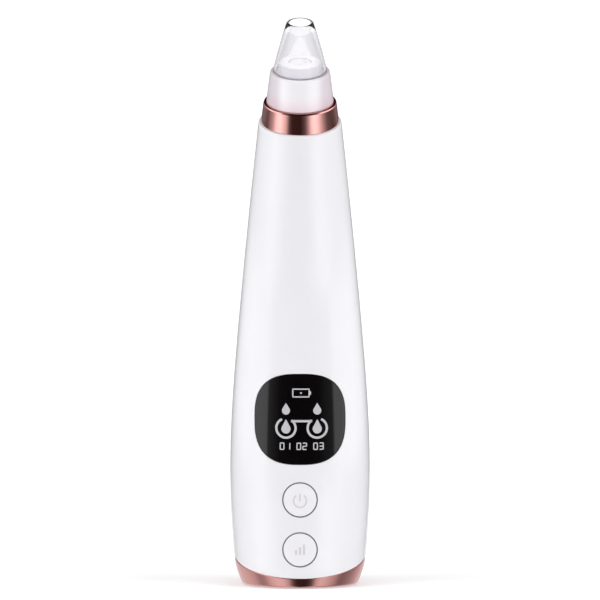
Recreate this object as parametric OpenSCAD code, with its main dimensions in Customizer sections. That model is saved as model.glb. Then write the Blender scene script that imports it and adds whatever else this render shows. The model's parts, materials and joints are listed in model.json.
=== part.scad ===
// Handheld pore vacuum: a bottle-shaped body whose nose leans forward, a clear suction
// cone that pulls off, a curved display window, two round buttons and a plated base ring.
// Millimetres, Z up, front towards -Y, origin at the middle of the flat underside.

/* [Body] */
// largest diameter of the body
body_d = 44; // [40:0.5:56]
// length of the shells along the body's axis
body_len = 149; // [140:0.5:185]
// forward lean of the nose, degrees
nose_lean = 19.5; // [5:0.5:24]
// height of the widest place
belly_z = 37.5; // [30:0.5:50]
// radius of the shells at their top end
nose_r = 13; // [12.8:0.05:15]
// how softly the upper taper starts
upper_soft = 28; // [10:1:60]
// how fast the lower body narrows
lower_taper = 0.24; // [0:0.001:0.4]
// how softly the lower taper starts
lower_soft = 77.5; // [40:0.5:120]
// height under which the foot turns in
foot_z = 8; // [5:0.5:12]
// how fast the foot turns in
foot_taper = 0.34; // [0:0.01:0.5]
// how softly the foot starts to turn in
foot_soft = 4; // [2:0.5:10]
// thickness of the shell walls
shell_wall = 2; // [1.6:0.1:3]
// rounding of the shells' top edge
shell_edge = 0.6; // [0.2:0.1:1.2]

/* [Base] */
// height of the slanting seam at the axis
seam_z = 9.9; // [8:0.1:12]
// slant of that seam, degrees, low at the front
seam_tilt = 18.5; // [0:0.1:20]
// how far the plated trim stands back from the shell
trim_inset = 0.1; // [0:0.05:1]
// rounding of the trim's lower edge
trim_round = 0.6; // [0.3:0.1:1.4]
// wall of the plated trim
trim_wall = 1.7; // [1.2:0.1:3]
// height of the trim above the table
trim_lift = 0.3; // [0.1:0.05:1]
// thickness of the base plate and of the flange that it meets
plate_t = 1.3; // [1:0.1:2]
// radius of the circle of base screws
post_ring_r = 13.2; // [12:0.1:14]
// radius of the rubber pad under the base
pad_r = 10.4; // [8:0.1:10.4]
// radius of a base post
post_r = 2.1; // [1.8:0.1:2.4]
// radius of every small screw's shank
screw_r = 0.8; // [0.6:0.05:1]

/* [Nose] */
// height of the plated collar
collar_h = 6.8; // [4:0.1:9]
// how far the collar stands back from the shell edge
collar_step = 0.86; // [0.3:0.02:1.5]
// narrowing of the collar over its height
collar_taper = 0.8; // [0:0.05:1.5]
// rounding of the collar's top edge
collar_round = 0.7; // [0.2:0.05:1]
// height of the white skirt
skirt_h = 10.2; // [7:0.1:14]
// radius of the skirt's top corner
skirt_top_r = 8.75; // [8:0.05:11]
// height of the clear cone
cone_h = 16.25; // [12:0.25:22]
// outer radius of the cone at its foot
cone_foot_r = 8.46; // [7.5:0.02:9]
// outer radius of the cone at its mouth
cone_mouth_r = 4.18; // [3.8:0.02:5]
// radius of the suction mouth
mouth_r = 3.5; // [2:0.1:3.6]
// length of the straight part of the mouth
mouth_land = 2.4; // [1.5:0.1:4]
// outward bow of the cone's side
cone_bow = 0.18; // [0:0.02:0.5]
// wall of the cone at its foot
cone_wall = 0.85; // [0.7:0.05:1.45]
// radius of the spigot that the head plugs onto
spigot_r = 5.4; // [4.6:0.1:6]
// radial clearance between head and spigot
head_gap = 0.06; // [0.02:0.01:0.1]
// radius of the filter sponge
sponge_r = 3.55; // [2.5:0.05:4.4]
// radius of the floor inside the cone
floor_r = 6.6; // [5:0.1:6.7]
// height of that floor above the skirt
floor_h = 3.2; // [1.6:0.1:4]

/* [Display] */
// width and height of the rounded square window
window_w = 28.4; // [22:0.2:31]
// height of the window's middle
window_z = 53.7; // [50:0.1:62]
// thickness of the window
window_t = 1.2; // [0.8:0.1:1.4]
// squareness of the window outline
window_power = 2.75; // [2.4:0.05:8]
// width of the ledge behind the window's rim
window_ledge = 2.2; // [1.6:0.1:3]

/* [Buttons] */
// radius of a button
button_r = 5.2; // [4:0.1:6.2]
// radial running clearance around a button
button_gap = 0.08; // [0.04:0.01:0.1]
// height of the power button's middle
power_z = 28.4; // [26:0.1:31]
// height of the mode button's middle
mode_z = 12.6; // [12:0.1:14]
// travel of a button
button_travel = 0.5; // [0.3:0.05:0.6]

/* [Electronics] */
// depth of the board's front face behind the widest radius
board_depth = 9.4; // [9:0.1:11]
// thickness of the circuit boards
board_t = 1.2; // [0.8:0.1:1.6]
// half width of the main board
board_half_w = 10; // [9.4:0.1:10]
// radius of the battery cell
cell_r = 7; // [6:0.1:7.6]
// length of the battery cell
cell_h = 49; // [40:0.5:50]

/* [Pump] */
// radius of the motor can
motor_r = 10.2; // [9:0.1:10.6]
// length of the motor can
motor_len = 27; // [22:0.5:28]
// radius of the pump
pump_r = 11.2; // [10.8:0.1:11.6]
// radius of the motor shaft
shaft_r = 1; // [0.8:0.05:1.2]
// radial running clearance of the shaft
shaft_gap = 0.05; // [0.02:0.01:0.1]
// tilt of the wobble plate, degrees
wobble_tilt = 6; // [2:0.5:7]
// radius of the hose nipples
nipple_r = 2.2; // [1.8:0.1:2.4]
// wall of the suction hose
hose_wall = 1; // [0.8:0.1:1.3]
// radius of a wire
wire_r = 0.55; // [0.4:0.05:0.7]

/* [Hidden] */
$fn = 96;
fine = 32;
eps = 0.01;
fit = 0.02;
slack = 0.05;
wall_gap = 0.03;
far = 60;
body_r = body_d / 2;
bend_start = 0.445 * body_len;
bend_end = 0.957 * body_len;
bend_radius = (bend_end - bend_start) * 180 / (PI * nose_lean);

// base
flange_z = trim_lift + plate_t + 0.1;
flange_top = flange_z + plate_t;
flange_in_r = post_ring_r - post_r - 0.5;
base_plate_r = 15.4;
shelf_z = flange_top + 5;
shelf_t = 2;
post_x = post_ring_r * cos(21.5);
post_y = post_ring_r * sin(21.5);
pad_t = 0.9;
vent_r = 0.8;
spigot_wall = 1.4;
spigot_up = 2;

// chassis, boards and cell, front to back
board_front = -(body_r - board_depth);
board_back = board_front + board_t;
chassis_front = board_back + 1.5;
chassis_t = 1.5;
chassis_back = chassis_front + chassis_t;
cell_y = chassis_back + 4.4 + cell_r;
cell_z = shelf_z + shelf_t + 1;
board_low = 5.6;
stack_s = 0.6734 * body_len;
board_top = 66.5 + 0.65 * (body_len - 149);
board_cut = board_top - 0.4;
boss_x = 12.2;
boss_r = 2;
boss_zs = [22, board_top - 8];
standoff_x = 8.6;
standoff_zs = [20, 38];

// buttons and switches
cap_t = 2.5;
flange_r = button_r + 0.7;
flange_t = 0.7;
button_clear = 0.3;
stem_r = 1.7;
switch_h = 3.1;
switch_half = 3;
plunger_r = 1.75;
plunger_y = board_front - switch_h - 1;

// pump stack, along its own axis
motor_top = 2;
motor_low = motor_top - motor_len;
cap_low = motor_low - 2;
crank_top = motor_top + 12;
wobble_z = crank_top - 3;
wobble_r = 7.6;
wobble_t = 1.3;
wheel_r = 5.4;
wheel_z = motor_top + 3;
wheel_t = 3.2;
shaft_top = wheel_z + 1.4;
pin_r = 0.7;
diaphragm_t = 1;
valve_t = 2;
head_z = crank_top + diaphragm_t + valve_t;
head_t = 4.5;
head_top = head_z + head_t;
nipple_len = 6;
pump_screw_ring = pump_r - 1.65;
pump_cavity_r = 8.4;
cup_ring = 5;
cup_r = 2.4;
stack_shift = -0.75;
damper_t = 1.2;
ring_r = motor_r + damper_t + 0.02;
ring_t = 1.6;
spine_half = 5;

// nose, along its own axis from the end of the bend
shell_l = body_len - bend_end;
collar_l = shell_l + collar_h;
skirt_l = collar_l + skirt_h;
cone_l = skirt_l + cone_h;
floor_l = skirt_l + floor_h;
seat_flange_r = 9.9;
seat_flange_l = 2.4;
seat_step_l = 4;
seat_top_l = collar_l + 5.9;
seat_low_l = -4.5;
air_r = 1.5;
seal_l = collar_l + 2.7;
seal_h = 1.4;
seal_groove = 0.7;

// ---- the body's axis and outline -------------------------------------------------

function lean_at(s) =
  s < bend_start ? 0 : min(nose_lean, (s - bend_start) * 180 / (PI * bend_radius));
function axis_y(s) =
  -bend_radius * (1 - cos(lean_at(s))) - max(0, s - bend_end) * sin(nose_lean);
function axis_z(s) = min(s, bend_start) + bend_radius * sin(lean_at(s))
  + max(0, s - bend_end) * cos(nose_lean);

function narrowing(d, soft) = sqrt(d * d + soft * soft) - soft;
upper_taper = (body_r - nose_r) / narrowing(body_len - belly_z, upper_soft);
function body_rad(s) = s < belly_z
  ? body_r - lower_taper * narrowing(belly_z - s, lower_soft)
    - foot_taper * narrowing(max(0, foot_z - s), foot_soft)
  : body_r - upper_taper * narrowing(s - belly_z, upper_soft);

// how much an edge rounded by e has fallen away at the distance d from it
function fall(d, e) = d >= e ? 0 : e - sqrt(e * e - (e - d) * (e - d));
function shell_rad(s) = body_rad(s) - fall(body_len - s, shell_edge);

// a point of the body at the angle a around the axis
function round_pt(s, r, a) = [
  r * cos(a),
  axis_y(s) + r * sin(a) * cos(lean_at(s)),
  axis_z(s) + r * sin(a) * sin(lean_at(s))];

// a point given along the pump's or the nose's own axis
function stack_pt(x, y, z) = [
  x,
  axis_y(stack_s) + (y + stack_shift) * cos(lean_at(stack_s)) - z * sin(lean_at(stack_s)),
  axis_z(stack_s) + (y + stack_shift) * sin(lean_at(stack_s)) + z * cos(lean_at(stack_s))];
function nose_pt(x, y, z) = [
  x,
  axis_y(bend_end) + y * cos(nose_lean) - z * sin(nose_lean),
  axis_z(bend_end) + y * sin(nose_lean) + z * cos(nose_lean)];

module at_stack() {
  translate(stack_pt(0, 0, 0)) rotate([lean_at(stack_s), 0, 0]) children();
}

module at_nose() {
  translate(nose_pt(0, 0, 0)) rotate([nose_lean, 0, 0]) children();
}

// ---- shared shapes -----------------------------------------------------------------

module block(x, y, z) {
  translate([x[0], y[0], z[0]]) cube([x[1] - x[0], y[1] - y[0], z[1] - z[0]]);
}

module rod_y(r, y, x, z) {
  translate([x, y[0], z]) rotate([-90, 0, 0]) cylinder(r = r, h = y[1] - y[0], $fn = fine);
}

module rod_z(r, z, x = 0, y = 0) {
  translate([x, y, z[0]]) cylinder(r = r, h = z[1] - z[0]);
}

module pipe(ro, ri, z) {
  difference() {
    rod_z(ro, z);
    rod_z(ri, [z[0] - 1, z[1] + 1]);
  }
}

// a solid of revolution that follows the body's outline between two radial offsets
module body_band(out_by, in_by, z, steps = 14) {
  dz = (z[1] - z[0]) / steps;
  rotate_extrude() polygon(concat(
    [for (k = [0:steps]) [body_rad(z[0] + k * dz) - out_by, z[0] + k * dz]],
    [for (k = [steps:-1:0]) [max(0, body_rad(z[0] + k * dz) - in_by), z[0] + k * dz]]));
}

// everything under the slanting seam, moved up or down
module under_seam(lift = 0) {
  translate([0, 0, seam_z + lift]) rotate([seam_tilt, 0, 0])
    block([-far, far], [-far, far], [-far, 0]);
}

// ---- swept solids --------------------------------------------------------------------

function unit(v) = v / norm(v);
function curve_dir(p, i) = unit(p[min(i + 1, len(p) - 1)] - p[max(i - 1, 0)]);
function curve_ring(c, t, r, n) =
  let(u = unit(cross(t, [1, 0.02, 0.01])), v = cross(t, u))
  [for (k = [0:n - 1]) c + r * (cos(k * 360 / n) * u + sin(k * 360 / n) * v)];
function bezier(a, b, c, d, n) = [for (k = [0:n]) let(t = k / n, m = 1 - t)
  m * m * m * a + 3 * m * m * t * b + 3 * m * t * t * c + t * t * t * d];

// triangles of a skin over rows of closed rings, without its ends
function skin(rows, n) = [for (j = [0:rows - 2], i = [0:n - 1], h = [0, 1])
  let(a = j * n + i, b = j * n + (i + 1) % n)
  h == 0 ? [a, b, b + n] : [a, b + n, a + n]];

module sweep(path, r, n = 10) {
  m = len(path);
  polyhedron(
    points = [for (i = [0:m - 1]) each curve_ring(path[i], curve_dir(path, i), r, n)],
    faces = concat(skin(m, n),
      [for (k = [1:n - 2]) [0, k + 1, k]],
      [for (k = [1:n - 2]) [(m - 1) * n, (m - 1) * n + k, (m - 1) * n + k + 1]]));
}

// a bent pipe: an outer and an inner skin joined at both ends
module bent_pipe(path, ro, ri, n = 24) {
  m = len(path);
  last = (m - 1) * n;
  inner = m * n;
  polyhedron(
    points = concat(
      [for (i = [0:m - 1]) each curve_ring(path[i], curve_dir(path, i), ro, n)],
      [for (i = [0:m - 1]) each curve_ring(path[i], curve_dir(path, i), ri, n)]),
    faces = concat(skin(m, n),
      [for (f = skin(m, n)) [f[0] + inner, f[2] + inner, f[1] + inner]],
      [for (k = [0:n - 1], h = [0, 1]) let(q = (k + 1) % n)
        h == 0 ? [k, k + inner, q] : [q, k + inner, q + inner]],
      [for (k = [0:n - 1], h = [0, 1]) let(a = last + k, b = last + (k + 1) % n)
        h == 0 ? [a, b, a + inner] : [b, b + inner, a + inner]]));
}

// one half of the bent shell, from the angle a0 on, as a closed band of rows
shell_arc = 30;
shell_low = 2;
foot_rows = 7;
foot_top = foot_z + 1;
shell_rows = 30;
function shell_s(j) = j <= foot_rows
  ? shell_low + (foot_top - shell_low) * j / foot_rows
  : j <= shell_rows
  ? foot_top + (body_len - shell_edge - foot_top) * (j - foot_rows) / (shell_rows - foot_rows)
  : body_len - shell_edge * (1 - sin(22.5 * (j - shell_rows)));
function shell_loop(s, a0) = concat(
  [for (i = [0:shell_arc]) round_pt(s, shell_rad(s), a0 + 180 * i / shell_arc)],
  [for (i = [shell_arc:-1:0])
    round_pt(s, body_rad(s) - shell_wall, a0 + 180 * i / shell_arc)]);

module half_shell(a0) {
  rows = shell_rows + 5;
  n = 2 * shell_arc + 2;
  last = (rows - 1) * n;
  polyhedron(
    points = [for (j = [0:rows - 1]) each shell_loop(shell_s(j), a0)],
    faces = concat(skin(rows, n),
      [for (i = [0:shell_arc - 1], h = [0, 1]) let(o = i, q = n - 1 - i)
        h == 0 ? [o, q, o + 1] : [o + 1, q, q - 1]],
      [for (i = [0:shell_arc - 1], h = [0, 1]) let(o = last + i, q = last + n - 1 - i)
        h == 0 ? [o, o + 1, q] : [o + 1, q - 1, q]]));
}

// ---- the pull-off suction head ---------------------------------------------------------

function cone_out(t) = cone_foot_r + (cone_mouth_r - cone_foot_r) * t
  + 4 * cone_bow * t * (1 - t);
cone_steps = 10;

module suction_tip() {
  inner_end = 1 - mouth_land / cone_h;
  lip = 0.3;
  color([0.85, 0.88, 0.92, 0.4]) at_nose() rotate_extrude() polygon(concat(
    [for (k = [0:cone_steps]) let(t = (1 - lip / cone_h) * k / cone_steps)
      [cone_out(t), skirt_l + t * cone_h]],
    [[cone_mouth_r - lip, cone_l], [mouth_r, cone_l]],
    [for (k = [cone_steps:-1:0]) let(t = k / cone_steps)
      [(cone_foot_r - cone_wall) * (1 - t) + mouth_r * t + 4 * cone_bow * t * (1 - t),
       skirt_l + t * inner_end * cone_h]]));
}

collar_foot_r = shell_rad(body_len - shell_edge) - collar_step;
collar_top_r = collar_foot_r - collar_taper - collar_round;
skirt_foot_r = collar_top_r - 0.15;
skirt_round = 0.6;
skirt_wall = 1.3;
tube_r = spigot_r + head_gap + 1.4;

module tip_skirt() {
  shoulder_r = skirt_top_r + skirt_round;
  inner_top = skirt_l - 1.4;
  color([0.94, 0.93, 0.96]) at_nose() difference() {
    rotate_extrude() polygon(concat(
      [[spigot_r + head_gap, collar_l], [tube_r, collar_l], [tube_r, inner_top],
       [shoulder_r - skirt_wall, inner_top], [skirt_foot_r - skirt_wall, collar_l],
       [skirt_foot_r, collar_l]],
      [for (k = [0:6]) let(a = 15 * k)
        [shoulder_r - skirt_round * (1 - cos(a)),
         skirt_l - skirt_round + skirt_round * sin(a)]],
      [[floor_r, skirt_l], [floor_r, floor_l], [sponge_r + slack, floor_l],
       [sponge_r + slack, skirt_l + 0.6], [0, skirt_l + 0.6], [0, skirt_l - 0.6],
       [spigot_r + head_gap, skirt_l - 0.6]]));
    for (a = [0:60:300]) rotate([0, 0, a])
      rod_z(vent_r, [skirt_l - 2, skirt_l + 2], 2.1, 0);
  }
}

module filter_sponge() {
  color([0.93, 0.93, 0.9]) at_nose() rod_z(sponge_r, [skirt_l + 0.6, floor_l - 0.2]);
}

// ---- the nose that stays on the body ----------------------------------------------------

module tip_seal() {
  color([0.75, 0.76, 0.78]) at_nose()
    pipe(spigot_r + 0.03, spigot_r - seal_groove, [seal_l, seal_l + seal_h]);
}

module nozzle_seat() {
  color([0.9, 0.9, 0.92]) at_nose() difference() {
    union() {
      rod_z(seat_flange_r, [seat_flange_l, seat_step_l]);
      rod_z(spigot_r, [seat_flange_l, seat_top_l]);
      rod_z(nipple_r, [seat_low_l, seat_flange_l]);
    }
    rod_z(air_r, [seat_low_l - 1, seat_top_l + 1]);
    rotate_extrude() translate([spigot_r - seal_groove, seal_l]) square([2, seal_h]);
  }
}

collar_spigot_r = body_rad(body_len) - shell_wall - slack;

module nose_collar() {
  bore_r = 8.3;
  color([0.85, 0.58, 0.52]) at_nose() rotate_extrude() polygon(concat(
    [[collar_spigot_r, 0.4], [collar_spigot_r, shell_l], [collar_foot_r, shell_l]],
    [for (k = [0:6]) let(a = 15 * k)
      [collar_top_r + collar_round * cos(a),
       collar_l - collar_round + collar_round * sin(a)]],
    [[bore_r, collar_l], [bore_r, seat_step_l], [seat_flange_r + slack, seat_step_l],
     [seat_flange_r + slack, 0.4]]));
}

// ---- shells -------------------------------------------------------------------------------

// rounded square outline of the window, shrunk by d
function squircle(d, n = 72) = [for (k = [0:n - 1]) let(a = (k + 0.5) * 360 / n,
  w = window_w / 2 - d, c = cos(a), s = sin(a))
  w * [sign(c) * pow(abs(c), 2 / window_power), sign(s) * pow(abs(s), 2 / window_power)]];

window_gap = 0.1;
window_span = [window_z - 16, window_z + 16];

module window_prism(d, back = 7.5 - body_r) {
  translate([0, back, window_z]) rotate([90, 0, 0])
    linear_extrude(height = far) polygon(squircle(d));
}

module front_shell() {
  color([0.93, 0.93, 0.96]) difference() {
    half_shell(180);
    under_seam();
    for (z = [power_z, mode_z])
      rod_y(button_r + button_gap, [-far, board_front], 0, z);
    intersection() {
      window_prism(-window_gap);
      body_band(-2, window_t + fit, window_span, 16);
    }
    window_prism(window_ledge);
  }
}

// solid cone frustum just inside the shell's wall
module shell_core(z, half) {
  inner = shell_wall + wall_gap;
  translate([0, 0, z - half])
    cylinder(r1 = body_rad(z - half) - inner, r2 = body_rad(z + half) - inner, h = 2 * half);
}

module shell_posts() {
  color([0.9, 0.9, 0.93]) for (z = boss_zs, x = [-boss_x, boss_x]) difference() {
    intersection() {
      rod_y(boss_r, [-body_r, chassis_front], x, z);
      shell_core(z, 4);
    }
    rod_y(screw_r + fit, [chassis_front - 4.2, chassis_front + 1], x, z);
  }
}

vent_xs = [-6, -3, 0, 3, 6];
vent_z = 26;

module rear_shell() {
  color([0.93, 0.93, 0.96]) difference() {
    half_shell(0);
    under_seam();
    for (x = vent_xs) rod_y(vent_r, [0, far], x, vent_z);
  }
}

// ---- base ------------------------------------------------------------------------------------

function trim_rad(z) = body_rad(z) - trim_inset - fall(z - trim_lift, trim_round);
trim_steps = 6;
trim_high = 18;
socket_half_w = 4.4;
socket_z = [4, 7.2];
socket_face = 19.4;

module base_trim() {
  band = [for (k = [0:trim_steps]) trim_lift + trim_round * k / trim_steps];
  color([0.86, 0.6, 0.54]) difference() {
    union() {
      difference() {
        rotate_extrude() polygon(concat(
          [for (z = concat(band, [for (z = [2:1.2:trim_high - 1]) z])) [trim_rad(z), z]],
          [[trim_rad(trim_high), trim_high], [trim_rad(trim_high) - trim_wall, trim_high],
           [base_plate_r + slack, flange_top], [flange_in_r, flange_top],
           [flange_in_r, flange_z], [base_plate_r + slack, flange_z],
           [base_plate_r + slack, trim_lift]]));
        translate([0, 0, seam_z]) rotate([seam_tilt, 0, 0])
          block([-far, far], [-far, far], [0, far]);
      }
      intersection() {
        body_band(shell_wall + 0.08, shell_wall + spigot_wall, [shell_low, trim_high + 1], 15);
        difference() {
          under_seam(spigot_up);
          under_seam(-1);
        }
      }
    }
    for (x = [-post_x, post_x], y = [-post_y, post_y])
      rod_z(screw_r + 0.15, [0, shelf_z], x, y);
    rod_y(flange_r + button_clear, [-far, board_front], 0, mode_z);
    block([-socket_half_w - slack, socket_half_w + slack], [0, far],
      [socket_z[0] - slack, socket_z[1] + slack]);
  }
}

module base_plate() {
  color([0.86, 0.85, 0.88]) difference() {
    rod_z(base_plate_r, [trim_lift, flange_z]);
    rod_z(pad_r + slack, [0, pad_t]);
    for (x = [-post_x, post_x], y = [-post_y, post_y]) {
      rod_z(screw_r + 0.15, [0, far], x, y);
      rod_z(1.6, [0, trim_lift + 0.6], x, y);
    }
  }
}

module base_pad() {
  color([0.3, 0.3, 0.32]) rod_z(pad_r, [0, pad_t]);
}

module base_screws() {
  color([0.7, 0.7, 0.72])
    for (x = [-post_x, post_x], y = [-post_y, post_y]) difference() {
      union() {
        rod_z(1.5, [trim_lift - 0.1, trim_lift + 0.6], x, y);
        rod_z(screw_r, [trim_lift, shelf_z + 1], x, y);
      }
      translate([0, 0, trim_lift]) {
        block([x - 1, x + 1], [y - 0.15, y + 0.15], [-1, 0.25]);
        block([x - 0.15, x + 0.15], [y - 1, y + 1], [-1, 0.25]);
      }
    }
}

// ---- display -----------------------------------------------------------------------------------

module display_window() {
  color([0.05, 0.05, 0.06]) intersection() {
    window_prism(0);
    body_band(0, window_t, window_span, 16);
  }
}

// light wells behind the window: round drops, open rings, the gauge and the level marks
well_r = 1.5;
ring_well_r = 2.9;
frame_gap = 0.25;
wells = [[-4.9, 3.1], [4.9, 3.1], [-4.9, -2.95], [4.9, -2.95]];

module display_frame() {
  color([0.96, 0.96, 0.96]) difference() {
    intersection() {
      window_prism(window_ledge + frame_gap, board_front);
      body_band(window_t + 0.1, body_r - 10, window_span, 16);
    }
    for (w = wells)
      rod_y(w[1] > 0 ? well_r : ring_well_r, [-far, far], w[0], window_z + w[1]);
    block([-3.2, 3.2], [-far, far], [window_z + 6.4, window_z + 9.4]);
    block([-7, 7], [-far, far], [window_z - 9.6, window_z - 7.3]);
    for (z = boss_zs, x = [-boss_x, boss_x]) rod_y(boss_r + frame_gap, [-far, far], x, z);
  }
}

module display_leds() {
  color([0.98, 0.95, 0.8]) {
    for (w = wells)
      block([w[0] - 0.5, w[0] + 0.5], [board_front - 0.6, board_front],
        [window_z + w[1] - 0.5, window_z + w[1] + 0.5]);
    block([-0.5, 0.5], [board_front - 0.6, board_front],
      [window_z + 7.4, window_z + 8.4]);
    for (x = [-4.5, 0, 4.5])
      block([x - 0.5, x + 0.5], [board_front - 0.6, board_front],
        [window_z - 9, window_z - 8]);
  }
}

// ---- buttons and switches -----------------------------------------------------------------------

// the retaining flange sits just behind the curved wall
function flange_y(z) = -sqrt(pow(body_rad(z) - shell_wall, 2) - flange_r * flange_r) + 0.1;

module button(z) {
  half = button_r + 0.1;
  color([0.95, 0.95, 0.97]) union() {
    intersection() {
      rod_y(button_r, [-body_r - 1, flange_y(z)], 0, z);
      translate([0, 0, z - half])
        cylinder(r1 = body_rad(z - half), r2 = body_rad(z + half), h = 2 * half);
    }
    rod_y(flange_r, [flange_y(z), flange_y(z) + flange_t], 0, z);
    rod_y(stem_r, [flange_y(z) + flange_t, plunger_y], 0, z);
  }
}

module power_button() {
  button(power_z);
}

module mode_button() {
  button(mode_z);
}

module plunger(z) {
  color([0.15, 0.15, 0.16])
    rod_y(plunger_r, [plunger_y, board_front - button_travel - 0.1], 0, z);
}

module power_plunger() {
  plunger(power_z);
}

module mode_plunger() {
  plunger(mode_z);
}

module switch_bodies() {
  color([0.2, 0.2, 0.22]) for (z = [power_z, mode_z]) difference() {
    block([-switch_half, switch_half], [board_front - switch_h, board_front],
      [z - switch_half, z + switch_half]);
    rod_y(plunger_r + slack, [-far, board_front - 0.05], 0, z);
  }
}

// ---- boards -------------------------------------------------------------------------------------

module main_board() {
  color([0.1, 0.35, 0.2]) difference() {
    block([-board_half_w, board_half_w], [board_front, board_back], [board_low, board_top]);
    for (z = standoff_zs, x = [-standoff_x, standoff_x])
      rod_y(screw_r + 0.15, [-far, far], x, z);
  }
}

module board_chips() {
  color([0.12, 0.12, 0.13]) {
    block([4.6, 9.4], [board_front - 1.4, board_front], [30.5, 35.3]);
    block([-9.4, -6.2], [board_front - 1, board_front], [31, 35]);
    for (x = [-8.6, -6.4, 6.4, 8.6])
      block([x - 0.4, x + 0.4], [board_front - 0.7, board_front], [25, 26.6]);
    for (x = [-7, 7])
      block([x - 1.2, x + 1.2], [board_front - 1.6, board_front], [8, 11.4]);
  }
}

module board_screws() {
  color([0.75, 0.75, 0.77])
    for (z = standoff_zs, x = [-standoff_x, standoff_x]) difference() {
      union() {
        rod_y(1.4, [board_front - 0.8, board_front], x, z);
        rod_y(screw_r, [board_front - 0.4, chassis_back - 0.2], x, z);
      }
      block([x - 1, x + 1], [-far, board_front - 0.5], [z - 0.15, z + 0.15]);
    }
}

charge_y = [5.2, 13.2];

module charge_board() {
  color([0.1, 0.35, 0.2]) union() {
    block([-7.6, 7.6], charge_y, [flange_top, socket_z[0]]);
    block([-socket_half_w, socket_half_w], [charge_y[0], charge_y[1] + 1.3],
      [flange_top, socket_z[0]]);
  }
}

module charging_socket() {
  color([0.75, 0.76, 0.78]) difference() {
    block([-socket_half_w, socket_half_w], [socket_face - 7.4, socket_face], socket_z);
    block([-socket_half_w + 0.35, socket_half_w - 0.35], [socket_face - 6.6, far],
      [socket_z[0] + 0.35, socket_z[1] - 0.35]);
  }
}

module socket_tongue() {
  mid = (socket_z[0] + socket_z[1]) / 2;
  color([0.1, 0.1, 0.1]) {
    block([-socket_half_w + 0.4, socket_half_w - 0.4],
      [socket_face - 6.6, socket_face - 5.6], [socket_z[0] + 0.4, socket_z[1] - 0.4]);
    block([-3.3, 3.3], [socket_face - 5.6, socket_face - 0.8], [mid - 0.35, mid + 0.35]);
  }
}

module charge_leads() {
  color([0.75, 0.12, 0.1]) for (x = [-3, 3]) sweep(bezier(
    [x, charge_y[0] - wire_r, flange_top + 0.6], [x, -2, flange_top + 0.8],
    [x, board_back + 4, board_low - 1.5], [x, board_back + wire_r, board_low + 2.4], 10),
    wire_r);
}

// ---- battery ------------------------------------------------------------------------------------

module battery_cell() {
  color([0.2, 0.45, 0.7]) rod_z(cell_r, [cell_z, cell_z + cell_h], 0, cell_y);
}

module battery_cap() {
  color([0.8, 0.8, 0.82]) rod_z(2.6, [cell_z + cell_h, cell_z + cell_h + 0.8], 0, cell_y);
}

module battery_pad() {
  color([0.25, 0.25, 0.26]) rod_z(cell_r - 1, [shelf_z + shelf_t, cell_z], 0, cell_y);
}

module battery_leads() {
  top = cell_z + cell_h;
  color([0.1, 0.1, 0.1]) for (x = [-1, 1]) sweep(bezier(
    [x * 4.2, cell_y, top + wire_r], [x * 16, cell_y, top + 9],
    [x * cable_slot_x, chassis_back + 7, cable_slot_z[0] + 1],
    [x * cable_slot_x, board_back + wire_r, cable_slot_z[0] + 3], 14), wire_r);
}

// ---- inner frame ------------------------------------------------------------------------------

cable_slot_x = 9;
cable_slot_z = [28, 34];
rib_zs = [17, 50];
rib_t = 5;
rib_half = cell_r + 1.6;
spine_y = [-(ring_r + ring_t + 1), -(ring_r + 0.1)];
spine_low = -31;

module motor_cradle() {
  block([-spine_half, spine_half], spine_y, [spine_low, motor_top - 3]);
  pipe(ring_r + ring_t, ring_r, [motor_low + 5, motor_low + 10]);
  pipe(ring_r + ring_t, ring_r, [motor_top - 9, motor_top - 4]);
}

module inner_frame() {
  half_w = board_half_w + 3;
  plate_top = board_top + 3;
  color([0.82, 0.83, 0.85]) difference() {
    union() {
      block([-half_w, half_w], [chassis_front, chassis_back], [shelf_z, plate_top]);
      block([-half_w, half_w], [chassis_front, cell_y + cell_r],
        [shelf_z, shelf_z + shelf_t]);
      for (x = [-post_x, post_x], y = [-post_y, post_y])
        rod_z(post_r, [flange_top, shelf_z + 1], x, y);
      for (z = boss_zs, x = [-boss_x, boss_x])
        rod_y(boss_r, [chassis_front, chassis_back], x, z);
      for (z = standoff_zs, x = [-standoff_x, standoff_x])
        rod_y(2, [board_back, chassis_back], x, z);
      for (z = rib_zs)
        block([-rib_half, rib_half], [chassis_back - 1, cell_y + 2.2], [z, z + rib_t]);
      block([-spine_half, spine_half], [board_front, chassis_back],
        [board_top + 0.3, plate_top]);
      at_stack() motor_cradle();
    }
    for (x = [-post_x, post_x], y = [-post_y, post_y])
      rod_z(screw_r + fit, [0, shelf_z + 1.2], x, y);
    for (z = boss_zs, x = [-boss_x, boss_x])
      rod_y(screw_r + 0.15, [-far, far], x, z);
    for (z = standoff_zs, x = [-standoff_x, standoff_x])
      rod_y(screw_r + fit, [-far, chassis_back - 0.1], x, z);
    rod_z(cell_r + slack, [shelf_z + shelf_t, plate_top + 1], 0, cell_y);
    for (x = [-cable_slot_x, cable_slot_x])
      block([x - 1.6, x + 1.6], [chassis_front - 1, chassis_back + 1], cable_slot_z);
  }
}

module frame_screws() {
  color([0.75, 0.75, 0.77])
    for (z = boss_zs, x = [-boss_x, boss_x]) difference() {
      union() {
        rod_y(1.5, [chassis_back, chassis_back + 1], x, z);
        rod_y(screw_r, [chassis_front - 4, chassis_back + 0.5], x, z);
      }
      block([x - 1, x + 1], [chassis_back + 0.6, far], [z - 0.15, z + 0.15]);
    }
}

// ---- motor, along the pump's axis --------------------------------------------------------------

can_wall = 0.9;
can_in_r = motor_r - can_wall;
bearing_r = 3;

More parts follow.
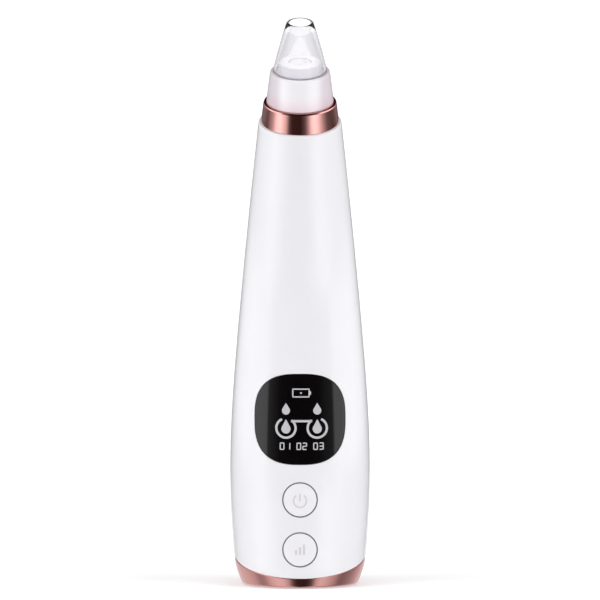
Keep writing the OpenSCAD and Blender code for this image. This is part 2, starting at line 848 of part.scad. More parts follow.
module motor_can() {
  color([0.72, 0.73, 0.76]) at_stack() difference() {
    union() {
      rod_z(motor_r, [motor_low, motor_top]);
      rod_z(bearing_r, [motor_top - 0.5, motor_top + 1.3]);
    }
    rod_z(can_in_r, [motor_low - 1, motor_top - can_wall]);
    rod_z(shaft_r + shaft_gap, [motor_low, motor_top + 3]);
    for (a = [0, 180]) rotate([0, 0, a])
      rod_z(screw_r + fit, [motor_top - 2, motor_top + 1], 6.3, 0);
  }
}

module motor_magnets() {
  color([0.25, 0.25, 0.27]) at_stack() for (a = [15, 195]) rotate([0, 0, a])
    translate([0, 0, motor_low + 4]) rotate_extrude(angle = 150)
      translate([can_in_r - 1.6, 0]) square([1.6 - fit, motor_len - 8]);
}

module motor_armature() {
  core_r = can_in_r - 2.1;
  color([0.72, 0.42, 0.2]) at_stack() difference() {
    union() {
      rod_z(core_r, [motor_low + 6, motor_top - 5]);
      rod_z(2.4, [motor_low + 2.6, motor_top - 3]);
    }
    rod_z(shaft_r + eps, [motor_low, motor_top]);
    for (a = [0, 120, 240]) rotate([0, 0, a])
      block([3.4, far], [-0.7, 0.7], [motor_low, motor_top]);
  }
}

module motor_shaft() {
  color([0.8, 0.81, 0.83]) at_stack() rod_z(shaft_r, [motor_low - 1.2, shaft_top]);
}

module motor_end_cap() {
  color([0.93, 0.93, 0.9]) at_stack() difference() {
    union() {
      rod_z(motor_r, [cap_low, motor_low]);
      rod_z(can_in_r - fit, [motor_low - 0.5, motor_low + 1.2]);
    }
    rod_z(shaft_r + shaft_gap, [motor_low - 1.4, motor_top]);
  }
}

tab_half = 0.2;

module motor_terminals() {
  color([0.8, 0.65, 0.3]) at_stack() for (x = [-5, 5])
    block([x - 1, x + 1], [-tab_half, tab_half], [cap_low - 2.6, cap_low]);
}

module motor_leads() {
  end_z = board_top - 0.3;
  lead_y = tab_half + wire_r + slack;
  color([0.75, 0.12, 0.1]) for (x = [-1, 1]) sweep(bezier(
    stack_pt(x * 5, lead_y, cap_low - 2), stack_pt(x * 10, lead_y, cap_low - 7),
    [x * 8.6, board_back + wire_r - 1, board_top + 12],
    [x * 8.6, board_back + wire_r + fit, end_z], 16), wire_r);
}

module motor_damper() {
  color([0.35, 0.35, 0.37]) at_stack()
    pipe(motor_r + damper_t, motor_r + fit, [motor_low + 4, motor_top - 3]);
}

module motor_screws() {
  color([0.75, 0.75, 0.77]) at_stack() for (a = [0, 180]) rotate([0, 0, a]) {
    rod_z(1.4, [motor_top + 1.5, motor_top + 2.2], 6.3, 0);
    rod_z(screw_r, [motor_top - can_wall, motor_top + 1.6], 6.3, 0);
  }
}

// ---- pump -----------------------------------------------------------------------------------------

// along the tilted axis of the wobble plate, through the plate's middle
module at_wobble() {
  at_stack() translate([0, 0, wobble_z]) rotate([wobble_tilt, 0, 0]) children();
}

pin_low = shaft_top + 0.3 - wobble_z;
pin_hole = 0.3;

module crank_wheel() {
  color([0.9, 0.9, 0.88]) difference() {
    at_stack() rod_z(wheel_r, [wheel_z, wheel_z + wheel_t]);
    at_stack() rod_z(shaft_r + eps, [0, shaft_top]);
    at_wobble() rod_z(pin_r + eps, [pin_low, 0]);
  }
}

module drive_pin() {
  color([0.8, 0.81, 0.83]) at_wobble() rod_z(pin_r, [pin_low, pin_hole]);
}

module wobble_disc() {
  color([0.92, 0.92, 0.94]) at_wobble() difference() {
    union() {
      rod_z(wobble_r, [-wobble_t / 2, wobble_t / 2]);
      rod_z(2.2, [-wobble_t / 2 - 1.2, 0]);
    }
    rod_z(pin_r + eps, [-far, pin_hole]);
  }
}

module pump_holes(r) {
  for (a = [45:90:315]) rotate([0, 0, a]) rod_z(r, [motor_top + 2, far], pump_screw_ring, 0);
}

module pump_base() {
  color([0.16, 0.16, 0.17]) at_stack() difference() {
    rod_z(pump_r, [motor_top, crank_top]);
    rod_z(pump_cavity_r, [motor_top + 1.5, far]);
    rod_z(bearing_r + slack, [0, far]);
    for (a = [0, 180]) rotate([0, 0, a]) rod_z(screw_r + 0.15, [0, far], 6.3, 0);
    pump_holes(screw_r + fit);
  }
}

module pump_diaphragm() {
  color([0.2, 0.2, 0.2]) at_stack() difference() {
    union() {
      rod_z(pump_r, [crank_top, crank_top + diaphragm_t]);
      for (a = [0, 120, 240]) rotate([0, 0, a])
        rod_z(cup_r, [crank_top - 1.1, crank_top + 0.5], cup_ring, 0);
    }
    for (a = [0, 120, 240]) rotate([0, 0, a])
      rod_z(cup_r - 0.7, [crank_top - 0.5, far], cup_ring, 0);
    pump_holes(screw_r + 0.15);
  }
}

module valve_plate() {
  color([0.2, 0.2, 0.22]) at_stack() difference() {
    rod_z(pump_r, [crank_top + diaphragm_t, head_z]);
    for (a = [0, 120, 240]) rotate([0, 0, a]) {
      rod_z(0.5, [0, far], cup_ring, 0);
      rod_z(0.4, [0, far], cup_ring - 1, 0);
    }
    pump_holes(screw_r + 0.15);
  }
}

module valve_flaps() {
  color([0.85, 0.85, 0.83]) at_stack() for (a = [0, 120, 240]) rotate([0, 0, a])
    rod_z(1.2, [head_z, head_z + 0.35], cup_ring + 0.6, 0);
}

module pump_head() {
  chamber_top = head_z + 2.8;
  color([0.16, 0.16, 0.17]) at_stack() difference() {
    union() {
      rod_z(pump_r, [head_z, head_top]);
      rod_z(nipple_r, [head_top - 1, head_top + nipple_len]);
    }
    pipe(pump_cavity_r, 3.9, [head_z - 1, chamber_top]);
    rod_z(3.1, [head_z - 1, chamber_top]);
    rod_z(1.2, [head_z, head_top + nipple_len + 1]);
    rod_z(0.9, [head_z, head_top + 1], 6.2, 0);
    pump_holes(screw_r + 0.15);
  }
}

module pump_screws() {
  color([0.75, 0.75, 0.77]) at_stack() for (a = [45:90:315]) rotate([0, 0, a])
    difference() {
      union() {
        rod_z(1.4, [head_top, head_top + 0.8], pump_screw_ring, 0);
        rod_z(screw_r, [motor_top + 3, head_top + 0.4], pump_screw_ring, 0);
      }
      block([pump_screw_ring - 1, pump_screw_ring + 1], [-0.15, 0.15],
        [head_top + 0.5, head_top + 1]);
    }
}

module suction_hose() {
  start_z = head_top + nipple_len;
  color([0.86, 0.86, 0.88, 0.7]) bent_pipe(concat([stack_pt(0, 0, head_top + 0.5)],
    bezier(stack_pt(0, 0, start_z), stack_pt(0, 0, start_z + 4),
      nose_pt(0, 0, seat_low_l - 4), nose_pt(0, 0, seat_low_l), 8),
    [nose_pt(0, 0, seat_flange_l - 0.3)]), nipple_r + slack + hose_wall, nipple_r + slack);
}

suction_tip();
tip_skirt();
filter_sponge();
tip_seal();
nozzle_seat();
nose_collar();
front_shell();
rear_shell();
shell_posts();
base_trim();
base_plate();
base_pad();
base_screws();
display_window();
display_frame();
display_leds();
power_button();
mode_button();
power_plunger();
mode_plunger();
switch_bodies();
main_board();
board_chips();
board_screws();
charge_board();
charging_socket();
socket_tongue();
charge_leads();
battery_cell();
battery_cap();
battery_pad();
battery_leads();
inner_frame();
frame_screws();
motor_can();
motor_magnets();
motor_armature();
motor_shaft();
motor_end_cap();
motor_terminals();
motor_leads();
motor_damper();
motor_screws();
crank_wheel();
drive_pin();
wobble_disc();
pump_base();
pump_diaphragm();
valve_plate();
valve_flaps();
pump_head();
pump_screws();
suction_hose();
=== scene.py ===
# %% [markdown]
# # A handheld pore vacuum, dressed around its CAD model
# The CAD model already holds every piece at its true size. This lesson loads it, keeps the
# inner pieces as they are, and gives the visible skins smooth meshes and real materials.
# Everything is in metres in the same frame as the CAD: Z up, the front towards -Y.

# %% Load the CAD model
import json
import math
import bmesh
import bpy
import numpy as np
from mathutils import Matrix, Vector


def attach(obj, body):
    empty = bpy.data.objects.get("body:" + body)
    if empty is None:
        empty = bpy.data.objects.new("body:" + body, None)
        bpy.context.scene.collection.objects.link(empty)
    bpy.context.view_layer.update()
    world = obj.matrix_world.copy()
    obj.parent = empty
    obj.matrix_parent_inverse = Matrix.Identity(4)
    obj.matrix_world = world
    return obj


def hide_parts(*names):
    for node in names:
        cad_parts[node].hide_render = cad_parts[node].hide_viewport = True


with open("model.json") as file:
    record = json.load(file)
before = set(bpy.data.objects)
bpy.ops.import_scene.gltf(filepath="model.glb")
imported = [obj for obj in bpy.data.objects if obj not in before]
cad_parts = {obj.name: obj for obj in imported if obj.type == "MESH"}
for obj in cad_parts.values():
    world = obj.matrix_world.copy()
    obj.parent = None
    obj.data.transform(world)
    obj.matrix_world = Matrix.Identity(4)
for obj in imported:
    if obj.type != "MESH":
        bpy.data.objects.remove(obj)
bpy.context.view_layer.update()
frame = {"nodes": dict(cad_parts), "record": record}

MM = 0.001
nodes = frame["nodes"]

# %% [markdown]
# ## The body's outline
# The real body is round all the way up, but its axis bends forward like a bottle with a bent
# neck. A subdivision model could be pushed into that shape by eye. A formula is better here,
# because every skin, hole, key and mark has to sit on exactly the same surface: one function
# gives the axis, one gives the radius, and everything else asks them.

# %% Axis and radius
BODY_R = 22.0
BODY_LEN = 149.0
LEAN = math.radians(19.5)
BEND_START = 0.445 * BODY_LEN
BEND_END = 0.957 * BODY_LEN
BEND_R = (BEND_END - BEND_START) / LEAN
BELLY_Z = 37.5
FOOT_Z = 8.0
WALL = 2.0
NOSE_R = 13.0
LOWER_TAPER, LOWER_SOFT = 0.24, 77.5
FOOT_TAPER, FOOT_SOFT = 0.34, 4.0
UPPER_SOFT = 28.0


def narrowing(d, soft):
    """Flat at first, then close to a straight line; soft is how long the change takes."""
    return np.sqrt(d ** 2 + soft ** 2) - soft


UPPER_TAPER = (BODY_R - NOSE_R) / narrowing(BODY_LEN - BELLY_Z, UPPER_SOFT)


def lean_at(s):
    return np.clip((np.asarray(s, float) - BEND_START) / BEND_R, 0.0, LEAN)


def axis_yz(s):
    s = np.asarray(s, float)
    a = lean_at(s)
    past = np.maximum(0.0, s - BEND_END)
    y = -BEND_R * (1 - np.cos(a)) - past * math.sin(LEAN)
    z = np.minimum(s, BEND_START) + BEND_R * np.sin(a) + past * math.cos(LEAN)
    return y, z


def radius(s):
    s = np.asarray(s, float)
    low = (BODY_R - LOWER_TAPER * narrowing(BELLY_Z - s, LOWER_SOFT)
           - FOOT_TAPER * narrowing(np.maximum(0.0, FOOT_Z - s), FOOT_SOFT))
    high = BODY_R - UPPER_TAPER * narrowing(s - BELLY_Z, UPPER_SOFT)
    return np.where(s < BELLY_Z, low, high)


def edge_fall(d, e):
    """How far a rounded edge of radius e has dropped at the distance d from its end."""
    d = np.clip(np.asarray(d, float), 0.0, e)
    return e - np.sqrt(np.maximum(0.0, e * e - (e - d) ** 2))


def skin_point(s, r, a):
    """A point at the angle a round the bent axis; a = 270 degrees is the front."""
    y, z = axis_yz(s)
    t = lean_at(s)
    return np.stack([r * np.cos(a), y + r * np.sin(a) * np.cos(t),
                     z + r * np.sin(a) * np.sin(t)], axis=-1)


def skin_normal(p):
    """The outline's true normal at points near the skin, for clean reflections."""
    p = np.asarray(p, float)
    s = p[:, 2].copy()
    for _ in range(12):
        y, z = axis_yz(s)
        t = lean_at(s)
        s += -(p[:, 1] - y) * np.sin(t) + (p[:, 2] - z) * np.cos(t)
    y, z = axis_yz(s)
    t = lean_at(s)
    slope = (radius(s + 0.05) - radius(s - 0.05)) / 0.1
    out = np.stack([p[:, 0], p[:, 1] - y, p[:, 2] - z], axis=-1)
    out /= np.linalg.norm(out, axis=1)[:, None]
    along = np.stack([0 * t, -np.sin(t), np.cos(t)], axis=-1)
    n = out - slope[:, None] * along
    return n / np.linalg.norm(n, axis=1)[:, None]


def front_y(x, z):
    """The front surface of the straight lower body, where the window and keys are."""
    return -np.sqrt(radius(z) ** 2 - np.asarray(x, float) ** 2)


print("bend from", round(BEND_START, 1), "to", round(BEND_END, 1), "mm, radius", round(BEND_R, 1))

# %% [markdown]
# ## Shared building helpers
# Most visible pieces are either turned shapes or sheets laid on the body's surface. Both are
# grids of points, so one helper makes the faces and one makes the Blender object, gives it its
# material, says which CAD body it rides on and which CAD pieces it stands for.

# %% Grid and object helpers
def grid_faces(rows, cols):
    """Faces between rows of points that each close on themselves."""
    return [(j * cols + i, j * cols + (i + 1) % cols, (j + 1) * cols + (i + 1) % cols,
             (j + 1) * cols + i) for j in range(rows - 1) for i in range(cols)]


def new_mesh(name, points_mm, faces):
    mesh = bpy.data.meshes.new(name)
    mesh.from_pydata([tuple(p) for p in np.asarray(points_mm, float) * MM], [], faces)
    mesh.validate()
    mesh.update()
    return mesh


def joined_mesh(name, parts):
    """One mesh from several (points, faces) sets."""
    pts, faces, start = [], [], 0
    for xyz, fs in parts:
        pts.append(xyz)
        faces += [tuple(start + v for v in f) for f in fs]
        start += len(xyz)
    return new_mesh(name, np.concatenate(pts), faces)


def in_scene(name, data):
    ob = bpy.data.objects.new(name, data)
    bpy.context.scene.collection.objects.link(ob)
    return ob


def add_piece(name, mesh, body, finish, replaces=(), soften=True):
    """Puts a mesh in the scene as one piece of the object."""
    ob = in_scene(name, mesh)
    mesh.materials.clear()
    mesh.materials.append(finish)
    if soften:
        mesh.shade_smooth()
        mesh.set_sharp_from_angle(angle=math.radians(50))
        mod = ob.modifiers.new("even shading", "WEIGHTED_NORMAL")
        mod.keep_sharp = True
    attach(ob, body)
    if replaces:
        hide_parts(*replaces)
    return ob


def round_corners(points, steps=6):
    """points: (r, z, corner radius). Returns the outline with its corners rounded."""
    out = []
    n = len(points)
    for i, (x, y, rad) in enumerate(points):
        if rad <= 0 or i in (0, n - 1):
            out.append((x, y))
            continue
        p = np.array([x, y])
        a = np.array(points[i - 1][:2]) - p
        b = np.array(points[i + 1][:2]) - p
        la, lb = np.linalg.norm(a), np.linalg.norm(b)
        a, b = a / la, b / lb
        half = math.acos(max(-1.0, min(1.0, float(a @ b)))) / 2
        cut = min(rad / math.tan(half), 0.49 * la, 0.49 * lb)
        r = cut * math.tan(half)
        mid = (a + b) / np.linalg.norm(a + b)
        c = p + mid * (r / math.sin(half))
        start, end = p + a * cut - c, p + b * cut - c
        for k in range(steps + 1):
            t = k / steps
            v = start * (1 - t) + end * t
            v = v / np.linalg.norm(v) * r
            out.append(tuple(c + v))
    return out


def turned(name, outline, segments=128):
    """A turned solid on the nose's axis, from a closed outline of (r, z) points."""
    a = np.linspace(0, 2 * math.pi, segments, endpoint=False)
    rows = []
    for r, z in outline:
        rows.append(on_nose(np.stack([r * np.cos(a), r * np.sin(a), np.full(segments, z)], -1)))
    return closed_round(name, rows)


def closed_round(name, rows):
    """A grid that closes both ways: round its axis and from its last row to its first."""
    cols = len(rows[0])
    last = (len(rows) - 1) * cols
    faces = grid_faces(len(rows), cols)
    faces += [(last + i, last + (i + 1) % cols, (i + 1) % cols, i) for i in range(cols)]
    mesh = new_mesh(name, np.concatenate(rows), faces)
    bm_fix(mesh)
    return mesh


def bm_fix(mesh, merge=0.0005):
    """Welds doubled points and turns every face outwards."""
    bm = bmesh.new()
    bm.from_mesh(mesh)
    bmesh.ops.remove_doubles(bm, verts=bm.verts, dist=merge * MM)
    bmesh.ops.recalc_face_normals(bm, faces=bm.faces)
    bm.to_mesh(mesh)
    bm.free()
    mesh.update()


def on_nose(p):
    """From the nose's own axis to the frame."""
    p = np.asarray(p, float)
    y0, z0 = axis_yz(BEND_END)
    c, s = math.cos(LEAN), math.sin(LEAN)
    return np.stack([p[..., 0], y0 + p[..., 1] * c - p[..., 2] * s,
                     z0 + p[..., 1] * s + p[..., 2] * c], axis=-1)


print("helpers ready")

# %% [markdown]
# ## Effects that several finishes share
# Moulded and plated surfaces are never perfectly even. Three small node groups carry that:
# a very slight waviness of the mould, faint handling smudges that change the gloss, and a fine
# grain. A fourth says where on the nose a point is. They put out only masks, heights and
# distances, so each material stays in charge of its shader.

# %% Node group helpers
def group_with(name, inputs, outputs):
    g = bpy.data.node_groups.new(name, "ShaderNodeTree")
    for label, kind, value in inputs:
        s = g.interface.new_socket(name=label, in_out="INPUT", socket_type=kind)
        s.default_value = value
    for label, kind in outputs:
        g.interface.new_socket(name=label, in_out="OUTPUT", socket_type=kind)
    return g, g.nodes.new("NodeGroupInput"), g.nodes.new("NodeGroupOutput")


def noise_effect(name, detail, low, high):
    """A noise mask with a Scale and an Amount input and a Mask output around zero."""
    g, gin, gout = group_with(name, [("Scale", "NodeSocketFloat", 100.0),
                                     ("Amount", "NodeSocketFloat", 1.0)],
                              [("Mask", "NodeSocketFloat")])
    coord = g.nodes.new("ShaderNodeTexCoord")
    noise = g.nodes.new("ShaderNodeTexNoise")
    noise.inputs["Detail"].default_value = detail
    spread = g.nodes.new("ShaderNodeMapRange")
    spread.inputs["From Min"].default_value = low
    spread.inputs["From Max"].default_value = high
    times = g.nodes.new("ShaderNodeMath")
    times.operation = "MULTIPLY"
    g.links.new(coord.outputs["Object"], noise.inputs["Vector"])
    g.links.new(gin.outputs["Scale"], noise.inputs["Scale"])
    g.links.new(noise.outputs["Fac"], spread.inputs["Value"])
    g.links.new(spread.outputs["Result"], times.inputs[0])
    g.links.new(gin.outputs["Amount"], times.inputs[1])
    g.links.new(times.outputs["Value"], gout.inputs["Mask"])
    return g


def place_on_nose():
    """Height up the nose from the shells' top end, and distance from the middle plane."""
    g, _, gout = group_with("place on the nose", [], [("Height", "NodeSocketFloat"),
                                                      ("Off Middle", "NodeSocketFloat")])
    coord = g.nodes.new("ShaderNodeTexCoord")
    along = g.nodes.new("ShaderNodeVectorMath")
    along.operation = "DOT_PRODUCT"
    along.inputs[1].default_value = (0.0, -math.sin(LEAN), math.cos(LEAN))
    y0, z0 = (float(v) for v in axis_yz(BODY_LEN))
    height = g.nodes.new("ShaderNodeMath")
    height.operation = "SUBTRACT"
    height.inputs[1].default_value = (z0 * math.cos(LEAN) - y0 * math.sin(LEAN)) * MM
    split = g.nodes.new("ShaderNodeSeparateXYZ")
    size = g.nodes.new("ShaderNodeMath")
    size.operation = "ABSOLUTE"
    g.links.new(coord.outputs["Object"], along.inputs[0])
    g.links.new(along.outputs["Value"], height.inputs[0])
    g.links.new(height.outputs["Value"], gout.inputs["Height"])
    g.links.new(coord.outputs["Object"], split.inputs[0])
    g.links.new(split.outputs["X"], size.inputs[0])
    g.links.new(size.outputs["Value"], gout.inputs["Off Middle"])
    return g


mould_waviness = noise_effect("mould waviness", 1.0, 0.2, 0.8)
handling_smudges = noise_effect("handling smudges", 5.0, 0.45, 0.75)
fine_grain = noise_effect("fine grain", 3.0, 0.3, 0.7)
nose_place = place_on_nose()
print("groups:", [g.name for g in bpy.data.node_groups])

# %% [markdown]
# ## A base for every finish
# Each finish starts from the same small recipe: a Principled shader, a colour that drifts a
# little, a roughness lifted by smudges or grain, and a faint bump. Constant values go straight
# onto the shader's own sockets, and only what varies over the surface is linked.

# %% The finish recipe
def group_node(mat, group, **values):
    n = mat.node_tree.nodes.new("ShaderNodeGroup")
    n.node_tree = group
    for label, v in values.items():
        n.inputs[label].default_value = v
    return n


def make_finish(name, color, rough, drift=0.02, smudge=0.05, smudge_scale=60.0,
                grain=0.0, grain_scale=900.0, bump_um=2.0, wave=0.0, wave_scale=60.0,
                **sockets):
    mat = bpy.data.materials.new(name)
    mat.use_nodes = True
    nt = mat.node_tree
    shader = nt.nodes["Principled BSDF"]
    for key, value in sockets.items():
        shader.inputs[key.replace("_", " ")].default_value = value

    smudges = group_node(mat, handling_smudges, Scale=smudge_scale, Amount=1.0)

    tint = nt.nodes.new("ShaderNodeMix")
    tint.data_type = "RGBA"
    tint.inputs["A"].default_value = (*color, 1)
    tint.inputs["B"].default_value = (*[c * (1 - drift) for c in color], 1)
    nt.links.new(smudges.outputs["Mask"], tint.inputs["Factor"])
    nt.links.new(tint.outputs["Result"], shader.inputs["Base Color"])

    gloss = nt.nodes.new("ShaderNodeMapRange")
    gloss.inputs["To Min"].default_value = rough
    gloss.inputs["To Max"].default_value = min(1.0, rough + smudge)
    nt.links.new(smudges.outputs["Mask"], gloss.inputs["Value"])
    nt.links.new(gloss.outputs["Result"], shader.inputs["Roughness"])

    use, scale = (fine_grain, grain_scale) if grain else (mould_waviness, wave_scale)
    if grain or wave:
        relief = group_node(mat, use, Scale=scale, Amount=1.0)
        bump = nt.nodes.new("ShaderNodeBump")
        bump.inputs["Strength"].default_value = grain or wave
        bump.inputs["Distance"].default_value = bump_um * 1e-6
        nt.links.new(relief.outputs["Mask"], bump.inputs["Height"])
        nt.links.new(bump.outputs["Normal"], shader.inputs["Normal"])
    return mat


def fade(mat, value, start, end, at_start=0.0, at_end=1.0):
    """A smooth change between two distances in mm."""
    n = mat.node_tree.nodes.new("ShaderNodeMapRange")
    n.interpolation_type = "SMOOTHSTEP"
    for label, v in (("From Min", start * MM), ("From Max", end * MM), ("To Min", at_start),
                     ("To Max", at_end)):
        n.inputs[label].default_value = v
    mat.node_tree.links.new(value, n.inputs["Value"])
    return n.outputs["Result"]


def add_tint(mat, mask, color, blend="MIX"):
    """Blends one more colour into a finish, as far as the mask says."""
    nt = mat.node_tree
    base = nt.nodes["Principled BSDF"].inputs["Base Color"]
    mix = nt.nodes.new("ShaderNodeMix")
    mix.data_type = "RGBA"
    mix.blend_type = blend
    mix.inputs["B"].default_value = (*color, 1)
    nt.links.new(mask, mix.inputs["Factor"])
    nt.links.new(base.links[0].from_socket, mix.inputs["A"])
    nt.links.new(mix.outputs["Result"], base)


print("finish recipe ready")

# %% [markdown]
# ## White gloss plastic
# The shells, the skirt and the keys are injection-moulded ABS from polished tools. The white
# is a little cool and the gloss is high. A coat layer could give the gloss, but one smooth
# surface is what moulded plastic has, so the roughness is just low.

# %% White plastics
shell_white = make_finish("gloss white plastic", (0.845, 0.845, 0.865), 0.09, drift=0.012,
                          smudge=0.05, wave=0.25, wave_scale=45.0, bump_um=6.0, IOR=1.5)
skirt_white = make_finish("skirt white plastic", (0.88, 0.865, 0.89), 0.14, drift=0.015,
                          smudge=0.05, wave=0.2, bump_um=5.0, IOR=1.5)
key_white = make_finish("key white plastic", (0.87, 0.865, 0.89), 0.1, drift=0.012,
                        smudge=0.05, wave=0.2, bump_um=5.0, IOR=1.5)
satin_white = make_finish("satin white plastic", (0.8, 0.8, 0.82), 0.42, drift=0.03,
                          smudge=0.1, grain=0.5, bump_um=8.0)
base_white = make_finish("textured base plastic", (0.78, 0.77, 0.8), 0.5, drift=0.03,
                         smudge=0.08, grain=0.9, grain_scale=1600.0, bump_um=15.0)
print("white finishes made")

# %% [markdown]
# ## Painted collar reflection and painted side shade on the skirt
# The plated collar throws a little of its own colour up onto the skirt's foot. Few light paths
# find that route, so the finish carries it as a painted reflection: the white is warmed towards
# the foot, which stands on the collar. Towards both sides the white is darkened and tinted pink,
# painted shade together with painted reflection of the collar.

# %% Painted collar reflection at the foot, painted shade on the flanks
COLLAR_TALL = 6.8
place = group_node(skirt_white, nose_place)
# Painted reflection: the collar's colour warms the skirt towards its foot.
painted_collar_reflection_at_foot = fade(skirt_white, place.outputs["Height"], COLLAR_TALL, COLLAR_TALL + 5.5, 1.0, 0.0)
add_tint(skirt_white, painted_collar_reflection_at_foot, (1.0, 0.86, 0.89), "MULTIPLY")
# Painted shade with some painted collar reflection: darker and pinker towards both sides.
painted_side_shade_and_reflection = fade(skirt_white, place.outputs["Off Middle"], 4.8, 8.0)
add_tint(skirt_white, painted_side_shade_and_reflection, (0.82, 0.77, 0.80), "MULTIPLY")
print("glow added to the skirt")

# %% [markdown]
# ## Rose-gold plating
# The collar and the base ring are plastic with a vacuum-plated, lacquered copper-pink metal.
# It mirrors its surroundings, so it needs a full metallic shader, a low roughness and only a
# trace of waviness from the moulding under the plating.

# %% Plated metal
rose_gold = make_finish("rose gold plating", (0.77, 0.40, 0.37), 0.13, drift=0.06,
                        smudge=0.06, smudge_scale=90.0, wave=0.2, wave_scale=120.0,
                        bump_um=4.0, Metallic=1.0)
print("plating made")

# %% [markdown]
# ## Clear plastic
# The suction cone is clear polycarbonate under a millimetre thick. Refraction alone leaves such
# a thin wall almost invisible, so painted shade darkens the colour where the wall is seen edge on,
# standing in for the dark edges of refraction. The foot gets painted shade too, a grey band where
# it is joined to the skirt, standing in for the dark refraction there, and the mouth stays clear.

# %% Clear plastic
SKIRT_TALL = 10.2
clear_plastic = make_finish("clear polycarbonate", (0.97, 0.97, 0.985), 0.02, drift=0.01,
                            smudge=0.03, smudge_scale=140.0, wave=0.15, bump_um=3.0,
                            Transmission_Weight=1.0, IOR=1.3)
# Painted shade: grey where the wall is seen edge on, standing in for refraction.
painted_edge_on_shade = clear_plastic.node_tree.nodes.new("ShaderNodeLayerWeight")
painted_edge_on_shade.inputs["Blend"].default_value = 0.45
add_tint(clear_plastic, painted_edge_on_shade.outputs["Facing"], (0.50, 0.50, 0.52))
height = group_node(clear_plastic, nose_place).outputs["Height"]
foot = COLLAR_TALL + SKIRT_TALL
# Painted shade: a grey band at the foot, where the cone joins the skirt.
add_tint(clear_plastic, fade(clear_plastic, height, foot + 0.15, foot + 0.6, 1.0, 0.0),
         (0.3, 0.3, 0.32))
add_tint(clear_plastic, fade(clear_plastic, height, foot + 13.2, foot + 14.2, 0.0, 0.85),
         (1.0, 1.0, 1.0))
print("clear plastic made")

# %% [markdown]
# ## Black window and its marks
# The window is smoked black acrylic, polished, with marks that show as thin pale lines. A
# polished black surface is all about its reflections, so its own colour is nearly nothing.

# %% Window finishes
window_black = make_finish("smoked black acrylic", (0.0022, 0.0021, 0.0026), 0.05, drift=0.3,
                           smudge=0.05, smudge_scale=70.0, wave=0.1, bump_um=2.0, IOR=1.49)
mark_grey = make_finish("pale window print", (0.56, 0.56, 0.58), 0.35, drift=0.1, smudge=0.1,
                        grain=0.3, bump_um=2.0)
key_print = make_finish("soft grey key print", (0.66, 0.66, 0.69), 0.3, drift=0.05,
                        smudge=0.08, grain=0.3, bump_um=2.0)
# The key rims are dark grey: painted shade that darkens the narrow groove round each key.
painted_key_groove_shade = make_finish("painted shade in the key grooves", (0.2, 0.2, 0.21), 0.45, drift=0.15,
                       smudge=0.1, grain=0.4, bump_um=3.0)
print("window finishes made")

# %% [markdown]
# ## Finishes of the inner pieces
# None of these shows with the device shut, but each CAD piece still gets what it is made of,
# so that the part reads correctly when it is opened up or moved.

# %% Inner finishes
steel = make_finish("zinc plated steel", (0.62, 0.62, 0.64), 0.28, drift=0.1, smudge=0.15,
                    grain=0.4, bump_um=4.0, Metallic=1.0)
nickel = make_finish("bright nickel", (0.72, 0.71, 0.69), 0.16, drift=0.05, smudge=0.1,
                     wave=0.2, bump_um=3.0, Metallic=1.0)
brass = make_finish("brass tabs", (0.75, 0.55, 0.24), 0.25, drift=0.1, smudge=0.12,
                    grain=0.3, bump_um=3.0, Metallic=1.0)
ferrite = make_finish("dark ferrite", (0.09, 0.09, 0.095), 0.6, drift=0.2, smudge=0.15,
                      grain=0.8, bump_um=12.0)
copper_core = make_finish("copper windings", (0.62, 0.3, 0.13), 0.35, drift=0.2, smudge=0.2,
                          grain=0.8, grain_scale=2200.0, bump_um=20.0, Metallic=0.8)
black_plastic = make_finish("black glass-filled plastic", (0.025, 0.025, 0.027), 0.45,
                            drift=0.2, smudge=0.12, grain=0.8, bump_um=10.0)
board_green = make_finish("green solder mask", (0.02, 0.12, 0.05), 0.3, drift=0.3,
                          smudge=0.15, wave=0.4, wave_scale=300.0, bump_um=6.0)
wire_red = make_finish("red wire sleeve", (0.45, 0.03, 0.02), 0.4, drift=0.1, smudge=0.15,
                       grain=0.3, bump_um=4.0)
cell_blue = make_finish("blue cell sleeve", (0.05, 0.16, 0.38), 0.25, drift=0.1, smudge=0.15,
                        wave=0.4, bump_um=10.0)
foam_grey = make_finish("closed-cell foam", (0.06, 0.06, 0.065), 0.9, drift=0.3, smudge=0.05,
                        grain=1.0, grain_scale=1800.0, bump_um=60.0)
sponge_white = make_finish("open-cell sponge", (0.87, 0.865, 0.86), 0.95, drift=0.2,
                           smudge=0.03, smudge_scale=1400.0, grain=1.0, grain_scale=2600.0,
                           bump_um=120.0)
silicone = make_finish("grey silicone", (0.5, 0.51, 0.53), 0.45, drift=0.06, smudge=0.12,
                       grain=0.3, bump_um=5.0, Subsurface_Weight=0.1)
pad_rubber = make_finish("soft rubber pad", (0.05, 0.05, 0.055), 0.75, drift=0.25,
                         smudge=0.1, grain=0.9, grain_scale=1400.0, bump_um=25.0)
nylon = make_finish("natural nylon", (0.78, 0.77, 0.72), 0.4, drift=0.05, smudge=0.1,
                    grain=0.3, bump_um=5.0, Subsurface_Weight=0.1)
valve_rubber = make_finish("black valve rubber", (0.03, 0.03, 0.03), 0.6, drift=0.2,
                           smudge=0.1, grain=0.5, bump_um=8.0)
led_lens = make_finish("led lens", (0.85, 0.8, 0.6), 0.2, drift=0.05, smudge=0.05,
                       wave=0.2, bump_um=3.0)

FINISH_OF_SLOT = {
    "clear_plastic": clear_plastic, "white_gloss": shell_white, "sponge": sponge_white,
    "silicone": silicone, "white_plastic": satin_white, "rose_plate": rose_gold,
    "base_plastic": base_white, "pad_rubber": pad_rubber, "steel": steel,
    "black_window": window_black, "led": led_lens, "black_plastic": black_plastic,
    "circuit_board": board_green, "wire": wire_red, "cell_sleeve": cell_blue,
    "nickel": nickel, "foam": foam_grey, "magnet": ferrite, "copper_core": copper_core,
    "brass": brass, "pale_nylon": nylon, "valve_rubber": valve_rubber}

